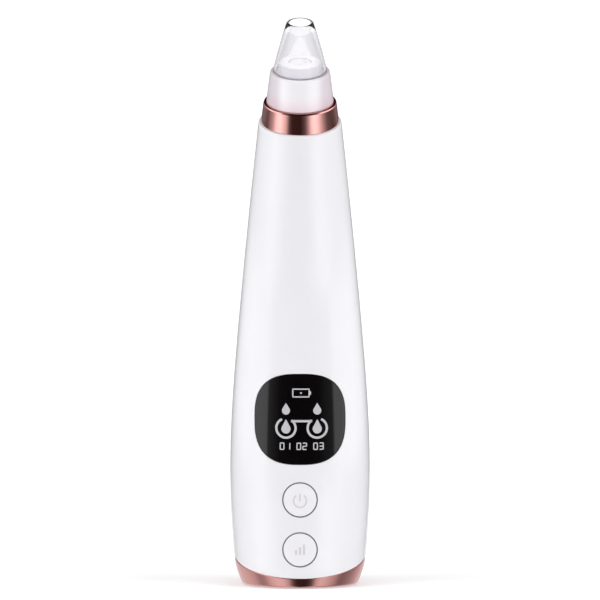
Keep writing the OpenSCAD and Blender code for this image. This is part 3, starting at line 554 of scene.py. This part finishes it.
slot_of_node = {p["node"]: p["material_slot"] for p in frame["record"]["subparts"]}
for name, ob in nodes.items():
    ob.data.materials.clear()
    ob.data.materials.append(FINISH_OF_SLOT[slot_of_node[name]])
print("finishes:", len(FINISH_OF_SLOT), "CAD nodes dressed:", len(nodes))

# %% [markdown]
# ## The two shells
# The body is two thin mouldings that meet at the sides. Each half is swept along the bent axis
# as one closed wall, outside and inside together. The holes are then cut with the Boolean
# modifier, which is what it is best at: simple clean cutters through a dense even grid. A cut
# leaves long odd faces, which would ripple in a mirror-like finish, so the true normals of the
# formula are written back onto every corner of the outside. Where the halves meet, each has a
# small rounded edge, which together make the fine parting line down both sides.

# %% Shell and cutter helpers
SHELL_EDGE = 0.6
PART_EDGE = 0.3
SEAM_Z = 9.9
SEAM_TILT = math.radians(18.5)
KEY_R, KEY_GAP, KEY_LIP = 5.2, 0.08, 0.34
POWER_Z, MODE_Z = 28.4, 12.6
WINDOW_W, WINDOW_Z, WINDOW_POWER = 28.4, 53.7, 2.75
WINDOW_GAP, LIP = 0.08, 0.16
FAR = 40.0


def half_shell_mesh(name, start_angle, arc=110, rows=190):
    s = np.concatenate([np.linspace(2.0, 12.0, 24)[:-1],
                        np.linspace(12.0, BODY_LEN - SHELL_EDGE, rows),
                        BODY_LEN - SHELL_EDGE * (1 - np.sin(np.radians(
                            np.linspace(0, 90, 9)[1:])))])
    edge_turn = PART_EDGE / BODY_R
    near_seam = edge_turn * np.array([0.0, 0.15, 0.4, 0.7])
    turn = np.concatenate([near_seam, np.linspace(edge_turn, math.pi - edge_turn, arc - 7),
                           math.pi - near_seam[::-1]])
    a = start_angle + turn
    from_seam = BODY_R * np.minimum(turn, math.pi - turn)
    loops = []
    for sj in s:
        out = float(radius(sj)) - float(edge_fall(BODY_LEN - sj, SHELL_EDGE))
        out = out - edge_fall(from_seam, PART_EDGE)
        inner = float(radius(sj)) - WALL
        loops.append(np.concatenate([skin_point(np.full_like(a, sj), out, a),
                                     skin_point(np.full_like(a, sj), inner, a)[::-1]]))
    cols = 2 * (arc + 1)
    faces = grid_faces(len(s), cols)
    last = (len(s) - 1) * cols
    for i in range(arc):
        o, q = i, cols - 1 - i
        faces.append((o, o + 1, q - 1, q))
        faces.append((last + o, last + q, last + q - 1, last + o + 1))
    mesh = new_mesh(name, np.concatenate(loops), faces)
    bm_fix(mesh, 0.0001)
    return mesh


def prism_y(name, outline, y0, y1):
    """A cutter with the outline's (x, z) points, running along Y."""
    n = len(outline)
    pts = [(x, y0, z) for x, z in outline] + [(x, y1, z) for x, z in outline]
    faces = [tuple(range(n)), tuple(range(2 * n - 1, n - 1, -1))]
    faces += [(i, i + n, (i + 1) % n + n, (i + 1) % n) for i in range(n)]
    mesh = new_mesh(name, pts, faces)
    bm_fix(mesh, 0.0001)
    return mesh


def circle_outline(r, z0, x0=0.0, n=96):
    return [(x0 + r * math.cos(t), z0 + r * math.sin(t))
            for t in np.linspace(0, 2 * math.pi, n, endpoint=False)]


def squircle_dir(t):
    """Half-size-1 rounded square, as the window's outline."""
    c, s = math.cos(t), math.sin(t)
    p = 2 / WINDOW_POWER
    return (math.copysign(abs(c) ** p, c), math.copysign(abs(s) ** p, s))


def squircle_outline(half, n=160):
    ts = np.linspace(0, 2 * math.pi, n, endpoint=False) + math.pi / n
    return [(half * squircle_dir(t)[0], WINDOW_Z + half * squircle_dir(t)[1]) for t in ts]


def seam_slab():
    """A big block under the slanting seam plane."""
    c, s = math.cos(SEAM_TILT), math.sin(SEAM_TILT)
    pts = [(x, y * c - z * s, SEAM_Z + y * s + z * c)
           for x in (-FAR, FAR) for y in (-FAR, FAR) for z in (-FAR, 0.0)]
    faces = [(0, 1, 3, 2), (4, 6, 7, 5), (0, 4, 5, 1), (2, 3, 7, 6), (0, 2, 6, 4), (1, 5, 7, 3)]
    mesh = new_mesh("seam slab", pts, faces)
    bm_fix(mesh)
    return mesh


def cut(mesh, cutters):
    """Returns the mesh with every cutter taken out of it."""
    ob = in_scene("cutting", mesh)
    tools = [in_scene("cutter", c) for c in cutters]
    for tool in tools:
        mod = ob.modifiers.new("cut", "BOOLEAN")
        mod.operation = "DIFFERENCE"
        mod.solver = "EXACT"
        mod.object = tool
    deps = bpy.context.evaluated_depsgraph_get()
    result = bpy.data.meshes.new_from_object(ob.evaluated_get(deps))
    for o in [ob, *tools]:
        bpy.data.objects.remove(o)
    result.name = mesh.name
    return result


def write_true_normals(mesh):
    """Outline normals on the outside, face normals on the cut walls."""
    mesh.shade_smooth()
    mesh.set_sharp_from_angle(angle=math.radians(35))
    count = len(mesh.loops)
    corner_vert = np.empty(count, dtype=np.int32)
    mesh.loops.foreach_get("vertex_index", corner_vert)
    co = np.empty(len(mesh.vertices) * 3)
    mesh.vertices.foreach_get("co", co)
    co = co.reshape(-1, 3) / MM
    true = skin_normal(co)
    normals = np.array([n.vector[:] for n in mesh.corner_normals])
    face_of = np.empty(count, dtype=np.int32)
    for f in mesh.polygons:
        face_of[f.loop_start:f.loop_start + f.loop_total] = f.index
    flat = np.array([f.normal[:] for f in mesh.polygons])[face_of]
    want = true[corner_vert]
    outside = (flat * want).sum(1) > 0.93
    top = co[corner_vert][:, 2] > float(axis_yz(BODY_LEN - SHELL_EDGE)[1]) - 6.0
    use = outside & ~top
    normals[use] = want[use]
    mesh.normals_split_custom_set(normals.tolist())
    return int(use.sum())


print("shell helpers ready")

# %% [markdown]
# ## Rounded lips round the holes
# A hole cut straight through glossy plastic looks like paper. The real edges are slightly
# rounded and catch a line of light. A Bevel modifier would struggle with the boolean's odd
# faces, so the holes are cut a touch wide and a small rounded strip is laid into each one.

# %% Lip strips
def lip_rows(direction, half, z0, depth, lip=LIP, inwards=True, steps=7):
    """Rows from the surface, over a rounded edge and down a wall, round one outline."""
    ts = np.linspace(0, 2 * math.pi, 160, endpoint=False)
    dirs = np.array([direction(t) for t in ts])
    rows = []
    for k in range(steps + 1):
        f = math.pi / 2 * k / steps
        grow = lip * (1 - math.sin(f)) if inwards else lip * (math.sin(f) - 1)
        rows.append((half + grow, lip * (1 - math.cos(f))))
    rows.append((half, depth))
    out = []
    for size, drop in rows:
        x = dirs[:, 0] * size
        z = z0 + dirs[:, 1] * size
        out.append(np.stack([x, front_y(x, z) + drop, z], -1))
    return out


def circle_dir(t):
    return (math.cos(t), math.sin(t))


def strip_mesh(name, row_sets):
    return joined_mesh(name, [(np.concatenate(rows), grid_faces(len(rows), len(rows[0])))
                              for rows in row_sets])


print("lip helpers ready")

# %% Front and rear shell
VENT_XS, VENT_Z, VENT_R = (-6, -3, 0, 3, 6), 26.0, 0.8
key_hole, window_hole = KEY_R + KEY_GAP, WINDOW_W / 2 + WINDOW_GAP
front_holes = [circle_outline(key_hole + KEY_LIP, POWER_Z),
               circle_outline(key_hole + KEY_LIP, MODE_Z), squircle_outline(window_hole + LIP)]
front = cut(half_shell_mesh("front shell", math.pi),
            [seam_slab()] + [prism_y("hole", o, -FAR, -10) for o in front_holes])
print("front corners with true normals:", write_true_normals(front))
add_piece("shell_front_skin", front, "housing", shell_white, ["front_shell"],
          soften=False)

lips = strip_mesh("window rim", [lip_rows(squircle_dir, window_hole, WINDOW_Z, WALL)])
add_piece("shell_window_rim", lips, "housing", shell_white)
# The rims round the keys are dark grey, painted shade for the groove round each key.
rims = strip_mesh("key rims", [lip_rows(circle_dir, key_hole, z, WALL, KEY_LIP)
                               for z in (POWER_Z, MODE_Z)])
add_piece("shell_key_rims", rims, "housing", painted_key_groove_shade)

rear = cut(half_shell_mesh("rear shell", 0.0),
           [seam_slab()] + [prism_y("vent", circle_outline(VENT_R, VENT_Z, x, 32), 5, FAR)
                            for x in VENT_XS])
print("rear corners with true normals:", write_true_normals(rear))
add_piece("shell_rear_skin", rear, "housing", shell_white, ["rear_shell"],
          soften=False)

# %% [markdown]
# ## Base ring
# The plated ring closes the shells below. Its top follows the slanting seam, so each vertical
# strip of it has its own height: low at the front, tall at the back, where the charging socket
# sits. It is turned as a grid whose rows slide up to the seam plane.

# %% Base ring
TRIM_LIFT, TRIM_ROUND, TRIM_INSET, TRIM_WALL = 0.3, 0.6, 0.1, 1.7
TOP_ROUND, SEAM_GAP = 0.2, 0.06
PLATE_R, PLATE_DEPTH, LEDGE_R = 15.45, 1.4, 12.0


def trim_radius(z):
    return radius(z) - TRIM_INSET - edge_fall(z - TRIM_LIFT, TRIM_ROUND)


def seam_height(a, inwards=0.0):
    """Height of the seam plane on the ring's outside, at the angle a."""
    z = np.full_like(a, SEAM_Z)
    for _ in range(12):
        z = SEAM_Z + math.tan(SEAM_TILT) * (trim_radius(z) - inwards) * np.sin(a)
    return z


def base_ring_mesh():
    seg = 192
    a = np.linspace(0, 2 * math.pi, seg, endpoint=False)
    top = seam_height(a) - SEAM_GAP
    top_inside = seam_height(a, TRIM_WALL) - SEAM_GAP
    rows = []

    def row(r, z):
        rows.append(np.stack([r * np.cos(a), r * np.sin(a), z], -1))

    def level_row(r, z):
        row(np.full(seg, float(r)), np.full(seg, z))

    level_row(LEDGE_R, TRIM_LIFT + PLATE_DEPTH)
    level_row(PLATE_R, TRIM_LIFT + PLATE_DEPTH)
    level_row(PLATE_R, TRIM_LIFT + 0.25)
    level_row(PLATE_R + 0.25, TRIM_LIFT)
    for k in range(9):
        z = TRIM_LIFT + TRIM_ROUND * (1 - math.cos(math.pi / 2 * k / 8))
        level_row(trim_radius(z), z)
    side_foot = TRIM_LIFT + TRIM_ROUND
    for k in range(1, 25):
        z = side_foot + (top - TOP_ROUND - side_foot) * k / 24
        row(trim_radius(z), z)
    for k in range(1, 5):
        f = math.pi / 2 * k / 4
        z = top - TOP_ROUND + TOP_ROUND * math.sin(f)
        row(trim_radius(z) - TOP_ROUND * (1 - math.cos(f)), z)
    row(trim_radius(top_inside) - TRIM_WALL, top_inside)
    level_row(15.9, 3.05)
    level_row(LEDGE_R, 3.0)
    return closed_round("base ring", rows)


def socket_outline(w, h, r, z0, n=8):
    pts = []
    for cx, cz, a0 in ((w - r, h - r, 0), (r - w, h - r, 90), (r - w, r - h, 180),
                       (w - r, r - h, 270)):
        for k in range(n + 1):
            t = math.radians(a0 + 90 * k / n)
            pts.append((cx + r * math.cos(t), z0 + cz + r * math.sin(t)))
    return pts


ring = cut(base_ring_mesh(), [prism_y("socket", socket_outline(4.5, 1.68, 0.5, 5.6), 10, FAR)])
add_piece("base_ring", ring, "housing", rose_gold, ["base_trim"])
print("base ring faces:", len(ring.polygons))

# %% [markdown]
# ## Nose: collar, skirt, cone
# These three are turned parts on the leaning nose axis. Their outlines are drawn as a lathe
# operator would, point by point with a corner radius at each, so the rims catch the light.

# %% Nose sizes
SHELL_L = BODY_LEN - BEND_END
COLLAR_L = SHELL_L + COLLAR_TALL
SKIRT_L = COLLAR_L + SKIRT_TALL
CONE_L = SKIRT_L + 16.25
COLLAR_R = float(radius(BODY_LEN - SHELL_EDGE)) - 0.86
COLLAR_TOP = COLLAR_R - 1.5
SKIRT_R = COLLAR_TOP - 0.15
print("collar radius:", round(COLLAR_R, 2), "skirt radius:", round(SKIRT_R, 2))

# %% Collar
collar_out = round_corners([
    (9.95, 0.4, 0), (11.0, 0.4, 0.1), (11.0, SHELL_L, 0.05), (COLLAR_R, SHELL_L + 0.02, 0.12),
    (COLLAR_TOP + 0.7, COLLAR_L, 0.75), (8.3, COLLAR_L, 0.2), (8.3, 4.0, 0.05),
    (9.95, 4.0, 0.05)], 8)
add_piece("plated_collar", turned("collar", collar_out), "housing", rose_gold,
          ["nose_collar"])
print("collar outline points:", len(collar_out))

# %% Skirt
FLOOR_L, FLOOR_R = SKIRT_L + 3.2, 6.6
skirt_out = round_corners([
    (5.46, COLLAR_L, 0), (6.86, COLLAR_L, 0.1), (6.86, SKIRT_L - 1.4, 0.2),
    (8.05, SKIRT_L - 1.4, 0.2), (SKIRT_R - 1.3, COLLAR_L, 0.1), (SKIRT_R, COLLAR_L, 0.18),
    (9.35, SKIRT_L, 0.75), (FLOOR_R, SKIRT_L, 0.1), (FLOOR_R, FLOOR_L, 0.2), (3.62, FLOOR_L, 0.12),
    (3.62, SKIRT_L + 0.6, 0.05), (0.02, SKIRT_L + 0.6, 0)], 7)
under = [(0.02, SKIRT_L - 0.6), (5.46, SKIRT_L - 0.6)]
add_piece("head_skirt", turned("skirt", skirt_out + under), "suction_head", skirt_white,
          ["tip_skirt"])
print("skirt outline points:", len(skirt_out + under))

# %% Clear cone
FOOT_R, MOUTH_OUT, MOUTH_R, LAND, BOW, CONE_WALL = 8.46, 4.18, 3.5, 2.4, 0.18, 0.85


def cone_side(t):
    return FOOT_R + (MOUTH_OUT - FOOT_R) * t + 4 * BOW * t * (1 - t)


def cone_hollow(t):
    return (FOOT_R - CONE_WALL) * (1 - t) + MOUTH_R * t + 4 * BOW * t * (1 - t)


CONE_H = CONE_L - SKIRT_L
outer = [(cone_side(t), SKIRT_L + 0.02 + t * CONE_H) for t in np.linspace(0.01, 0.96, 30)]
rim = round_corners([(*outer[-1], 0), (MOUTH_OUT - 0.02, CONE_L, 0.42),
                     (MOUTH_R, CONE_L, 0.12), (MOUTH_R, CONE_L - LAND, 0)], 6)[1:]
inner = [(cone_hollow(t), SKIRT_L + t * (CONE_H - LAND)) for t in np.linspace(1, 0, 24)]
cone_out = outer + rim + inner[1:] + [(FOOT_R - 0.1, SKIRT_L + 0.02)]
cone = add_piece("clear_suction_cone", turned("suction cone", cone_out), "suction_head",
                 clear_plastic, ["suction_tip"])
cone.visible_shadow = False
print("cone outline points:", len(cone_out))

# %% Sponge
sponge_out = round_corners([(0.02, SKIRT_L + 0.62, 0), (3.5, SKIRT_L + 0.62, 0.2),
                            (3.5, FLOOR_L - 0.25, 0.4), (0.02, FLOOR_L - 0.1, 0)], 5)
add_piece("sponge_disc", turned("sponge", sponge_out, 64), "suction_head", sponge_white,
          ["filter_sponge"])
print("nose pieces made")

# %% [markdown]
# ## Display window
# The window is a curved black lens, flush with the shell. A polar grid that swells from the
# middle out to a rounded square keeps the mesh even and puts a ring of points exactly on the
# rim, where a small rounded edge makes the bright hairline between lens and shell.

# %% Lens
def cap_rows(direction, half, z0, depth, rings=24, lip=0.14):
    """Rows from the middle of a flush cap to its rim, over the edge and down."""
    ts = np.linspace(0, 2 * math.pi, 160, endpoint=False)
    dirs = np.array([direction(t) for t in ts])
    rows = []
    for k in range(rings + 1):
        size = max(0.01, (half - lip) * k / rings)
        x, z = dirs[:, 0] * size, z0 + dirs[:, 1] * size
        rows.append(np.stack([x, front_y(x, z), z], -1))
    return rows + lip_rows(direction, half, z0, depth, lip=lip, inwards=False)[1:]


def flat_normals_for_caps(mesh):
    """The outline's own normals on the flush face of a cap."""
    mesh.shade_smooth()
    mesh.set_sharp_from_angle(angle=math.radians(60))
    normals = np.array([n.vector[:] for n in mesh.corner_normals])
    vert = np.empty(len(mesh.loops), dtype=np.int32)
    mesh.loops.foreach_get("vertex_index", vert)
    co = np.array([v.co[:] for v in mesh.vertices]) / MM
    on_skin = np.abs(front_y(co[:, 0], co[:, 2]) - co[:, 1]) < 0.004
    true = skin_normal(co)
    face_ok = np.zeros(len(mesh.loops), bool)
    for f in mesh.polygons:
        if all(on_skin[v] for v in f.vertices):
            face_ok[f.loop_start:f.loop_start + f.loop_total] = True
    normals[face_ok] = true[vert][face_ok]
    mesh.normals_split_custom_set(normals.tolist())


def cap_mesh(name, rows):
    cols = len(rows[0])
    faces = grid_faces(len(rows), cols)
    last = (len(rows) - 1) * cols
    faces.append(tuple(range(cols)))
    faces.append(tuple(last + i for i in reversed(range(cols))))
    mesh = new_mesh(name, np.concatenate(rows), faces)
    bm_fix(mesh, 0.0001)
    flat_normals_for_caps(mesh)
    return mesh


lens = cap_mesh("display lens", cap_rows(squircle_dir, WINDOW_W / 2, WINDOW_Z, 1.2))
add_piece("display_lens", lens, "housing", window_black, ["display_window"],
          soften=False)
print("lens faces:", len(lens.polygons))

# %% [markdown]
# ## Keys
# Each key is a flush round cap with a rounded rim, a retaining flange behind the wall and a
# short stem that pushes the switch. It is made like the lens, then carried on down to the stem.

# %% Power key and mode key
def key_mesh(name, z0):
    rows = cap_rows(circle_dir, KEY_R, z0, 2.0, rings=10, lip=0.12)
    ts = np.linspace(0, 2 * math.pi, len(rows[0]), endpoint=False)
    back = -math.sqrt((float(radius(z0)) - WALL) ** 2 - (KEY_R + 0.7) ** 2) + 0.1
    for r, y in ((KEY_R, back), (KEY_R + 0.7, back), (KEY_R + 0.7, back + 0.7),
                 (1.7, back + 0.7), (1.7, -16.7)):
        rows.append(np.stack([r * np.cos(ts), np.full(len(ts), y), z0 + r * np.sin(ts)], -1))
    rows = rows[:-6] + rows[-5:]
    return cap_mesh(name, rows)


for key, z in (("power", POWER_Z), ("mode", MODE_Z)):
    cap = key_mesh(key + " key", z)
    add_piece(key + "_key_cap", cap, key + "_key", key_white, [key + "_button"],
              soften=False)
    print(key, "key faces:", len(cap.polygons))

# %% [markdown]
# ## Marks on the window and the keys
# The marks are fine printed lines. An image texture is not used, so each mark is a thin ribbon
# laid on the curved surface: a list of points in the flat drawing, widened to a line and
# dropped onto the skin a few hundredths of a millimetre proud.

# %% Ribbon drawing
def ribbon(points, width, closed=False, z0=0.0, proud=0.03):
    """One drawn line. Returns its surface points and faces."""
    p = np.array(points, float)
    n = len(p)
    left, right = [], []
    for i in range(n):
        a = p[(i - 1) % n] if closed or i else p[i]
        b = p[(i + 1) % n] if closed or i < n - 1 else p[i]
        d = b - a
        d = d / np.linalg.norm(d)
        side = np.array([-d[1], d[0]]) * width / 2
        left.append(p[i] + side)
        right.append(p[i] - side)
    pts = np.array([q for pair in zip(left, right) for q in pair])
    z = z0 + pts[:, 1]
    xyz = np.stack([pts[:, 0], front_y(pts[:, 0], z) - proud, z], -1)
    m = n if closed else n - 1
    faces = [(2 * i, 2 * i + 1, (2 * i + 3) % (2 * n), (2 * i + 2) % (2 * n))
             for i in range(m)]
    return xyz, faces


def arc(cx, cz, r, a0, a1, n=40):
    return [(cx + r * math.cos(math.radians(t)), cz + r * math.sin(math.radians(t)))
            for t in np.linspace(a0, a1, n)]


def line(x0, z0, x1, z1, n=6):
    return [(x0 + (x1 - x0) * k / n, z0 + (z1 - z0) * k / n) for k in range(n + 1)]


SEGMENTS = {"a": (0, 1, 1, 1), "b": (1, 1, 1, 0.5), "c": (1, 0.5, 1, 0), "d": (0, 0, 1, 0),
            "e": (0, 0.5, 0, 0), "f": (0, 1, 0, 0.5), "g": (0, 0.5, 1, 0.5)}
DIGITS = {"0": "abcdef", "1": "bc", "2": "abged", "3": "abgcd"}


def digit(ch, x, z, w, h, stroke, z0):
    out = []
    for seg in DIGITS[ch]:
        x0, y0, x1, y1 = SEGMENTS[seg]
        out.append(ribbon(line(x + w * x0, z + h * y0, x + w * x1, z + h * y1, 3), stroke,
                          z0=z0))
    return out


print("ribbon helpers ready")

# %% Window marks
MARKS_X = 0.5
marks = []


def window_mark(points, width, closed=False):
    shifted = [(px + MARKS_X, pz) for px, pz in points]
    marks.append(ribbon(shifted, width, closed, z0=WINDOW_Z))


def filled_drop(cx, cz, w, h, n=22):
    """A solid drop, as a stack of rows between its two sides."""
    r = w / 2
    c = cz - h / 2 + r
    tip = cz + h / 2
    lean = math.asin(r / (tip - c))
    touch = c + r * math.sin(lean)
    zs = [c - r * math.cos(t) for t in np.linspace(0.05, math.pi / 2 + lean, n)]
    rows = [(math.sqrt(max(0.0, r * r - (z - c) ** 2)), z) for z in zs]
    rows += [(r * math.cos(lean) * (tip - z) / (tip - touch), z)
             for z in np.linspace(touch, tip - 0.03, 10)[1:]]
    pts = np.array([(cx + MARKS_X + k * half, z) for half, z in rows for k in (-1, 0, 1)])
    z = WINDOW_Z + pts[:, 1]
    xyz = np.stack([pts[:, 0], front_y(pts[:, 0], z) - 0.03, z], -1)
    faces = [(3 * j + k, 3 * j + k + 1, 3 * j + k + 4, 3 * j + k + 3)
             for j in range(len(rows) - 1) for k in (0, 1)]
    return xyz, faces


gw, gh, gz, gx = 5.12, 2.43, 8.3, -0.2
corners = [(gx - gw / 2, gz - gh / 2), (gx + gw / 2, gz - gh / 2),
           (gx + gw / 2, gz + gh / 2), (gx - gw / 2, gz + gh / 2)]
cell_outline = []
for (x0, z0), (x1, z1) in zip(corners, corners[1:] + corners[:1]):
    cell_outline += line(x0, z0, x1, z1)[:-1]
window_mark(cell_outline, 0.4, closed=True)
window_mark(line(gx + gw / 2 + 0.4, gz - 0.55, gx + gw / 2 + 0.4, gz + 0.55), 0.4)
window_mark(line(gx - 0.25, gz, gx + 0.25, gz), 0.5)
for side in (-1, 1):
    x = side * 4.91
    marks.append(filled_drop(x, 3.35, 2.55, 3.7))
    marks.append(filled_drop(x, -2.17, 2.9, 4.5))
    window_mark([(x - side * (px - x), pz) for px, pz in arc(x, -2.71, 3.02, 114, 415)], 0.72)
window_mark(line(-3.3, -0.52, 3.3, -0.52, 12), 0.72)
x = -6.7
for pair in ("01", "02", "03"):
    for ch in pair:
        marks += digit(ch, x + MARKS_X, -9.4, 1.15, 2.0, 0.34, WINDOW_Z)
        x += 1.85
    x += 1.55
add_piece("window_marks", joined_mesh("window marks", marks), "housing", mark_grey,
          soften=False)
print("marks made:", len(marks), "on the window")

# %% Key marks
power_mark = [ribbon(arc(0, -0.3, 2.05, 125, 415), 0.42, z0=POWER_Z),
              ribbon(line(0, -0.4, 0, 1.9), 0.42, z0=POWER_Z)]
mode_mark = [ribbon(line(x, -1.6, x, top), 0.62, z0=MODE_Z)
             for x, top in ((-1.25, -0.1), (0, 0.8), (1.25, 1.7))]
for key, mark in (("power", power_mark), ("mode", mode_mark)):
    add_piece(key + "_mark", joined_mesh(key + " mark", mark), key + "_key", key_print,
              soften=False)
print("marks made on both keys")

# %% [markdown]
# ## Camera
# A long lens from about three metres away and a hand's width above the object keeps the sides
# nearly parallel, as in a catalogue picture. The lens length follows from how many millimetres
# of the object the frame should cover.

# %% Camera
DISTANCE = 3.0
FRAME_WIDTH = 0.189
EYE_HEIGHT = DISTANCE * math.tan(math.radians(5.5))
AIM_HEIGHT = 0.08985
cam_data = bpy.data.cameras.new("camera")
cam_data.sensor_width = 36.0
cam_data.lens = 36.0 * DISTANCE / FRAME_WIDTH
cam_data.clip_end = 200.0
camera = in_scene("camera", cam_data)
camera.location = (0.0, -DISTANCE, EYE_HEIGHT)
aim = Vector((0.0, 0.0, AIM_HEIGHT))
camera.rotation_euler = (aim - camera.location).to_track_quat("-Z", "Y").to_euler()
bpy.context.scene.camera = camera
print("lens in mm:", round(cam_data.lens), "height in mm:", round(EYE_HEIGHT / MM))

# %% [markdown]
# ## Studio
# Glossy white plastic and mirror plating are lit by what they reflect. A real studio puts tall
# soft boxes at both sides and keeps the space behind the camera dark, which draws the dark band
# down the middle of the plating. The same is done here in the World: soft boxes by direction,
# which cost nothing to render and give no hard shadows. The mirror view has three belts, one
# for level surfaces, one for the collar that leans down a little and one for the low base ring,
# because each looks into another part of the room.

# %% Floor
FLOOR_EDGE = 30.0
floor_mesh = bpy.data.meshes.new("studio floor")
floor_mesh.from_pydata([(x, y, 0.0) for x, y in circle_outline(FLOOR_EDGE, 0.0)], [],
                       [tuple(range(96))])
floor = in_scene("studio floor", floor_mesh)
floor_mat = bpy.data.materials.new("pale studio floor")
floor_mat.use_nodes = True
floor_shader = floor_mat.node_tree.nodes["Principled BSDF"]
floor_shader.inputs["Base Color"].default_value = (0.85, 0.85, 0.855, 1)
floor_shader.inputs["Emission Color"].default_value = (1.0, 1.0, 1.0, 1)
floor_shader.inputs["Emission Strength"].default_value = 0.35
floor_shader.inputs["Roughness"].default_value = 0.9
floor_shader.inputs["Specular IOR Level"].default_value = 0.0
floor_mesh.materials.append(floor_mat)
floor.visible_glossy = False
print("floor radius in metres:", FLOOR_EDGE)

# %% World soft boxes
world = bpy.data.worlds.new("studio")
bpy.context.scene.world = world
world.use_nodes = True
wt = world.node_tree
wt.nodes.clear()


def wnode(kind, **props):
    n = wt.nodes.new(kind)
    for k, v in props.items():
        setattr(n, k, v)
    return n


def wmath(op, a, b=None, clamp=False):
    n = wnode("ShaderNodeMath", operation=op)
    n.use_clamp = clamp
    for i, v in enumerate((a, b)):
        if v is None:
            continue
        if isinstance(v, (int, float)):
            n.inputs[i].default_value = v
        else:
            wt.links.new(v, n.inputs[i])
    return n.outputs[0]


def between(value, low, high, soft):
    """1 inside low..high, 0 outside, with soft shoulders."""
    up = wmath("DIVIDE", wmath("SUBTRACT", value, low - soft), 2 * soft, clamp=True)
    down = wmath("DIVIDE", wmath("SUBTRACT", high + soft, value), 2 * soft, clamp=True)
    return wmath("MULTIPLY", up, down)


coord = wnode("ShaderNodeTexCoord")
xyz = wnode("ShaderNodeSeparateXYZ")
wt.links.new(coord.outputs["Generated"], xyz.inputs[0])
front_way = wmath("MULTIPLY", xyz.outputs["Y"], -1.0)
signed_angle = wmath("MULTIPLY", wmath("ARCTAN2", xyz.outputs["X"], front_way), 180 / math.pi)
side_angle = wmath("ABSOLUTE", signed_angle)
height_angle = wmath("MULTIPLY", wmath("ARCSINE", xyz.outputs["Z"]), 180 / math.pi)

side_boxes = wmath("MULTIPLY", between(side_angle, 38.0, 92.0, 6.0),
                   between(height_angle, -55.0, 65.0, 8.0))
top_box = between(height_angle, 58.0, 95.0, 8.0)
soft = wmath("ADD", wmath("MULTIPLY", side_boxes, 2.0), wmath("MULTIPLY", top_box, 1.0))
soft = wmath("ADD", soft, 0.13)


def by_angle(stops):
    """Brightness by direction round the object; stops are (degrees, strength)."""
    ramp = wnode("ShaderNodeValToRGB")
    turn = wmath("ADD", wmath("DIVIDE", signed_angle, 360.0), 0.5)
    wt.links.new(turn, ramp.inputs["Fac"])
    marks_on_ramp = ramp.color_ramp.elements
    for k, (angle, strength) in enumerate(stops):
        e = marks_on_ramp[k] if k < 2 else marks_on_ramp.new(1.0)
        e.position = angle / 360.0 + 0.5
        e.color = (strength / 2, strength / 2, strength / 2, 1)
    return wmath("MULTIPLY", ramp.outputs["Color"], 2.0)


COLLAR_LIGHT = [(-180, 0.02), (-147, 0.03), (-115, 0.08), (-92, 0.62), (-78, 1.6), (-66, 1.85),
                (-57, 1.35), (-47, 0.95), (-36, 0.12), (-27, 0.02), (4, 0.02), (18, 0.13),
                (27, 0.5), (37, 1.35), (47, 1.88), (57, 1.6), (68, 1.02), (79, 0.5),
                (92, 0.15), (115, 0.03), (180, 0.02)]
RING_LIGHT = [(-180, 0.8), (-125, 0.76), (-106, 0.63), (-92, 0.38), (-80, 0.45), (-68, 0.78),
              (-52, 0.96), (-38, 0.9), (-27, 0.62), (-17, 0.12), (-8, 0.02), (19, 0.02),
              (28, 0.12), (38, 0.68), (48, 0.92), (60, 0.8), (79, 0.52), (92, 0.24),
              (106, 0.29), (124, 0.45), (148, 0.75), (180, 0.8)]
BODY_LIGHT = [(-180, 0.3), (-140, 0.4), (-100, 1.5), (-68, 1.6), (-58, 1.5), (-55, 0.4),
              (-46, 0.2), (-34, 0.03), (-12, 0.008), (12, 0.008), (34, 0.03), (46, 0.15),
              (57, 0.25), (61, 1.5), (100, 1.5), (140, 0.4), (180, 0.3)]
half_turn = wmath("COSINE", wmath("MULTIPLY", side_angle, math.pi / 360))
slope = wmath("DIVIDE", height_angle, wmath("MAXIMUM", half_turn, 0.15))
low_down = between(slope, -400.0, -35.0, 3.0)
middle_low = between(slope, -35.0, -7.0, 2.0)
level = between(slope, -7.0, 62.0, 2.0)
mirror = wmath("ADD", wmath("MULTIPLY", low_down, by_angle(RING_LIGHT)),
               wmath("MULTIPLY", middle_low, by_angle(COLLAR_LIGHT)))
mirror = wmath("ADD", mirror, wmath("MULTIPLY", level, by_angle(BODY_LIGHT)))


def backdrop_light(strength):
    n = wnode("ShaderNodeBackground")
    n.inputs["Color"].default_value = (1.0, 0.99, 1.0, 1)
    if isinstance(strength, float):
        n.inputs["Strength"].default_value = strength
    else:
        wt.links.new(strength, n.inputs["Strength"])
    return n.outputs[0]


def choose(ray, other, this):
    n = wnode("ShaderNodeMixShader")
    wt.links.new(ray, n.inputs["Fac"])
    wt.links.new(other, n.inputs[1])
    wt.links.new(this, n.inputs[2])
    return n.outputs[0]


path = wnode("ShaderNodeLightPath")
warm_dark = wnode("ShaderNodeBackground")
warm_dark.inputs["Color"].default_value = (1.0, 0.22, 0.14, 1)
warm_dark.inputs["Strength"].default_value = 0.018
mirror_room = wnode("ShaderNodeAddShader")
wt.links.new(backdrop_light(mirror), mirror_room.inputs[0])
wt.links.new(warm_dark.outputs[0], mirror_room.inputs[1])
through_clear = wmath("GREATER_THAN", path.outputs["Transmission Depth"], 0.5)
gloss = choose(through_clear, mirror_room.outputs[0], backdrop_light(0.8))
view = choose(path.outputs["Is Glossy Ray"], backdrop_light(soft), gloss)
view = choose(path.outputs["Is Transmission Ray"], view, backdrop_light(1.0))
view = choose(path.outputs["Is Camera Ray"], view, backdrop_light(1.0))
out = wnode("ShaderNodeOutputWorld")
wt.links.new(view, out.inputs["Surface"])
bpy.context.scene.view_settings.view_transform = "Standard"
print("studio ready")
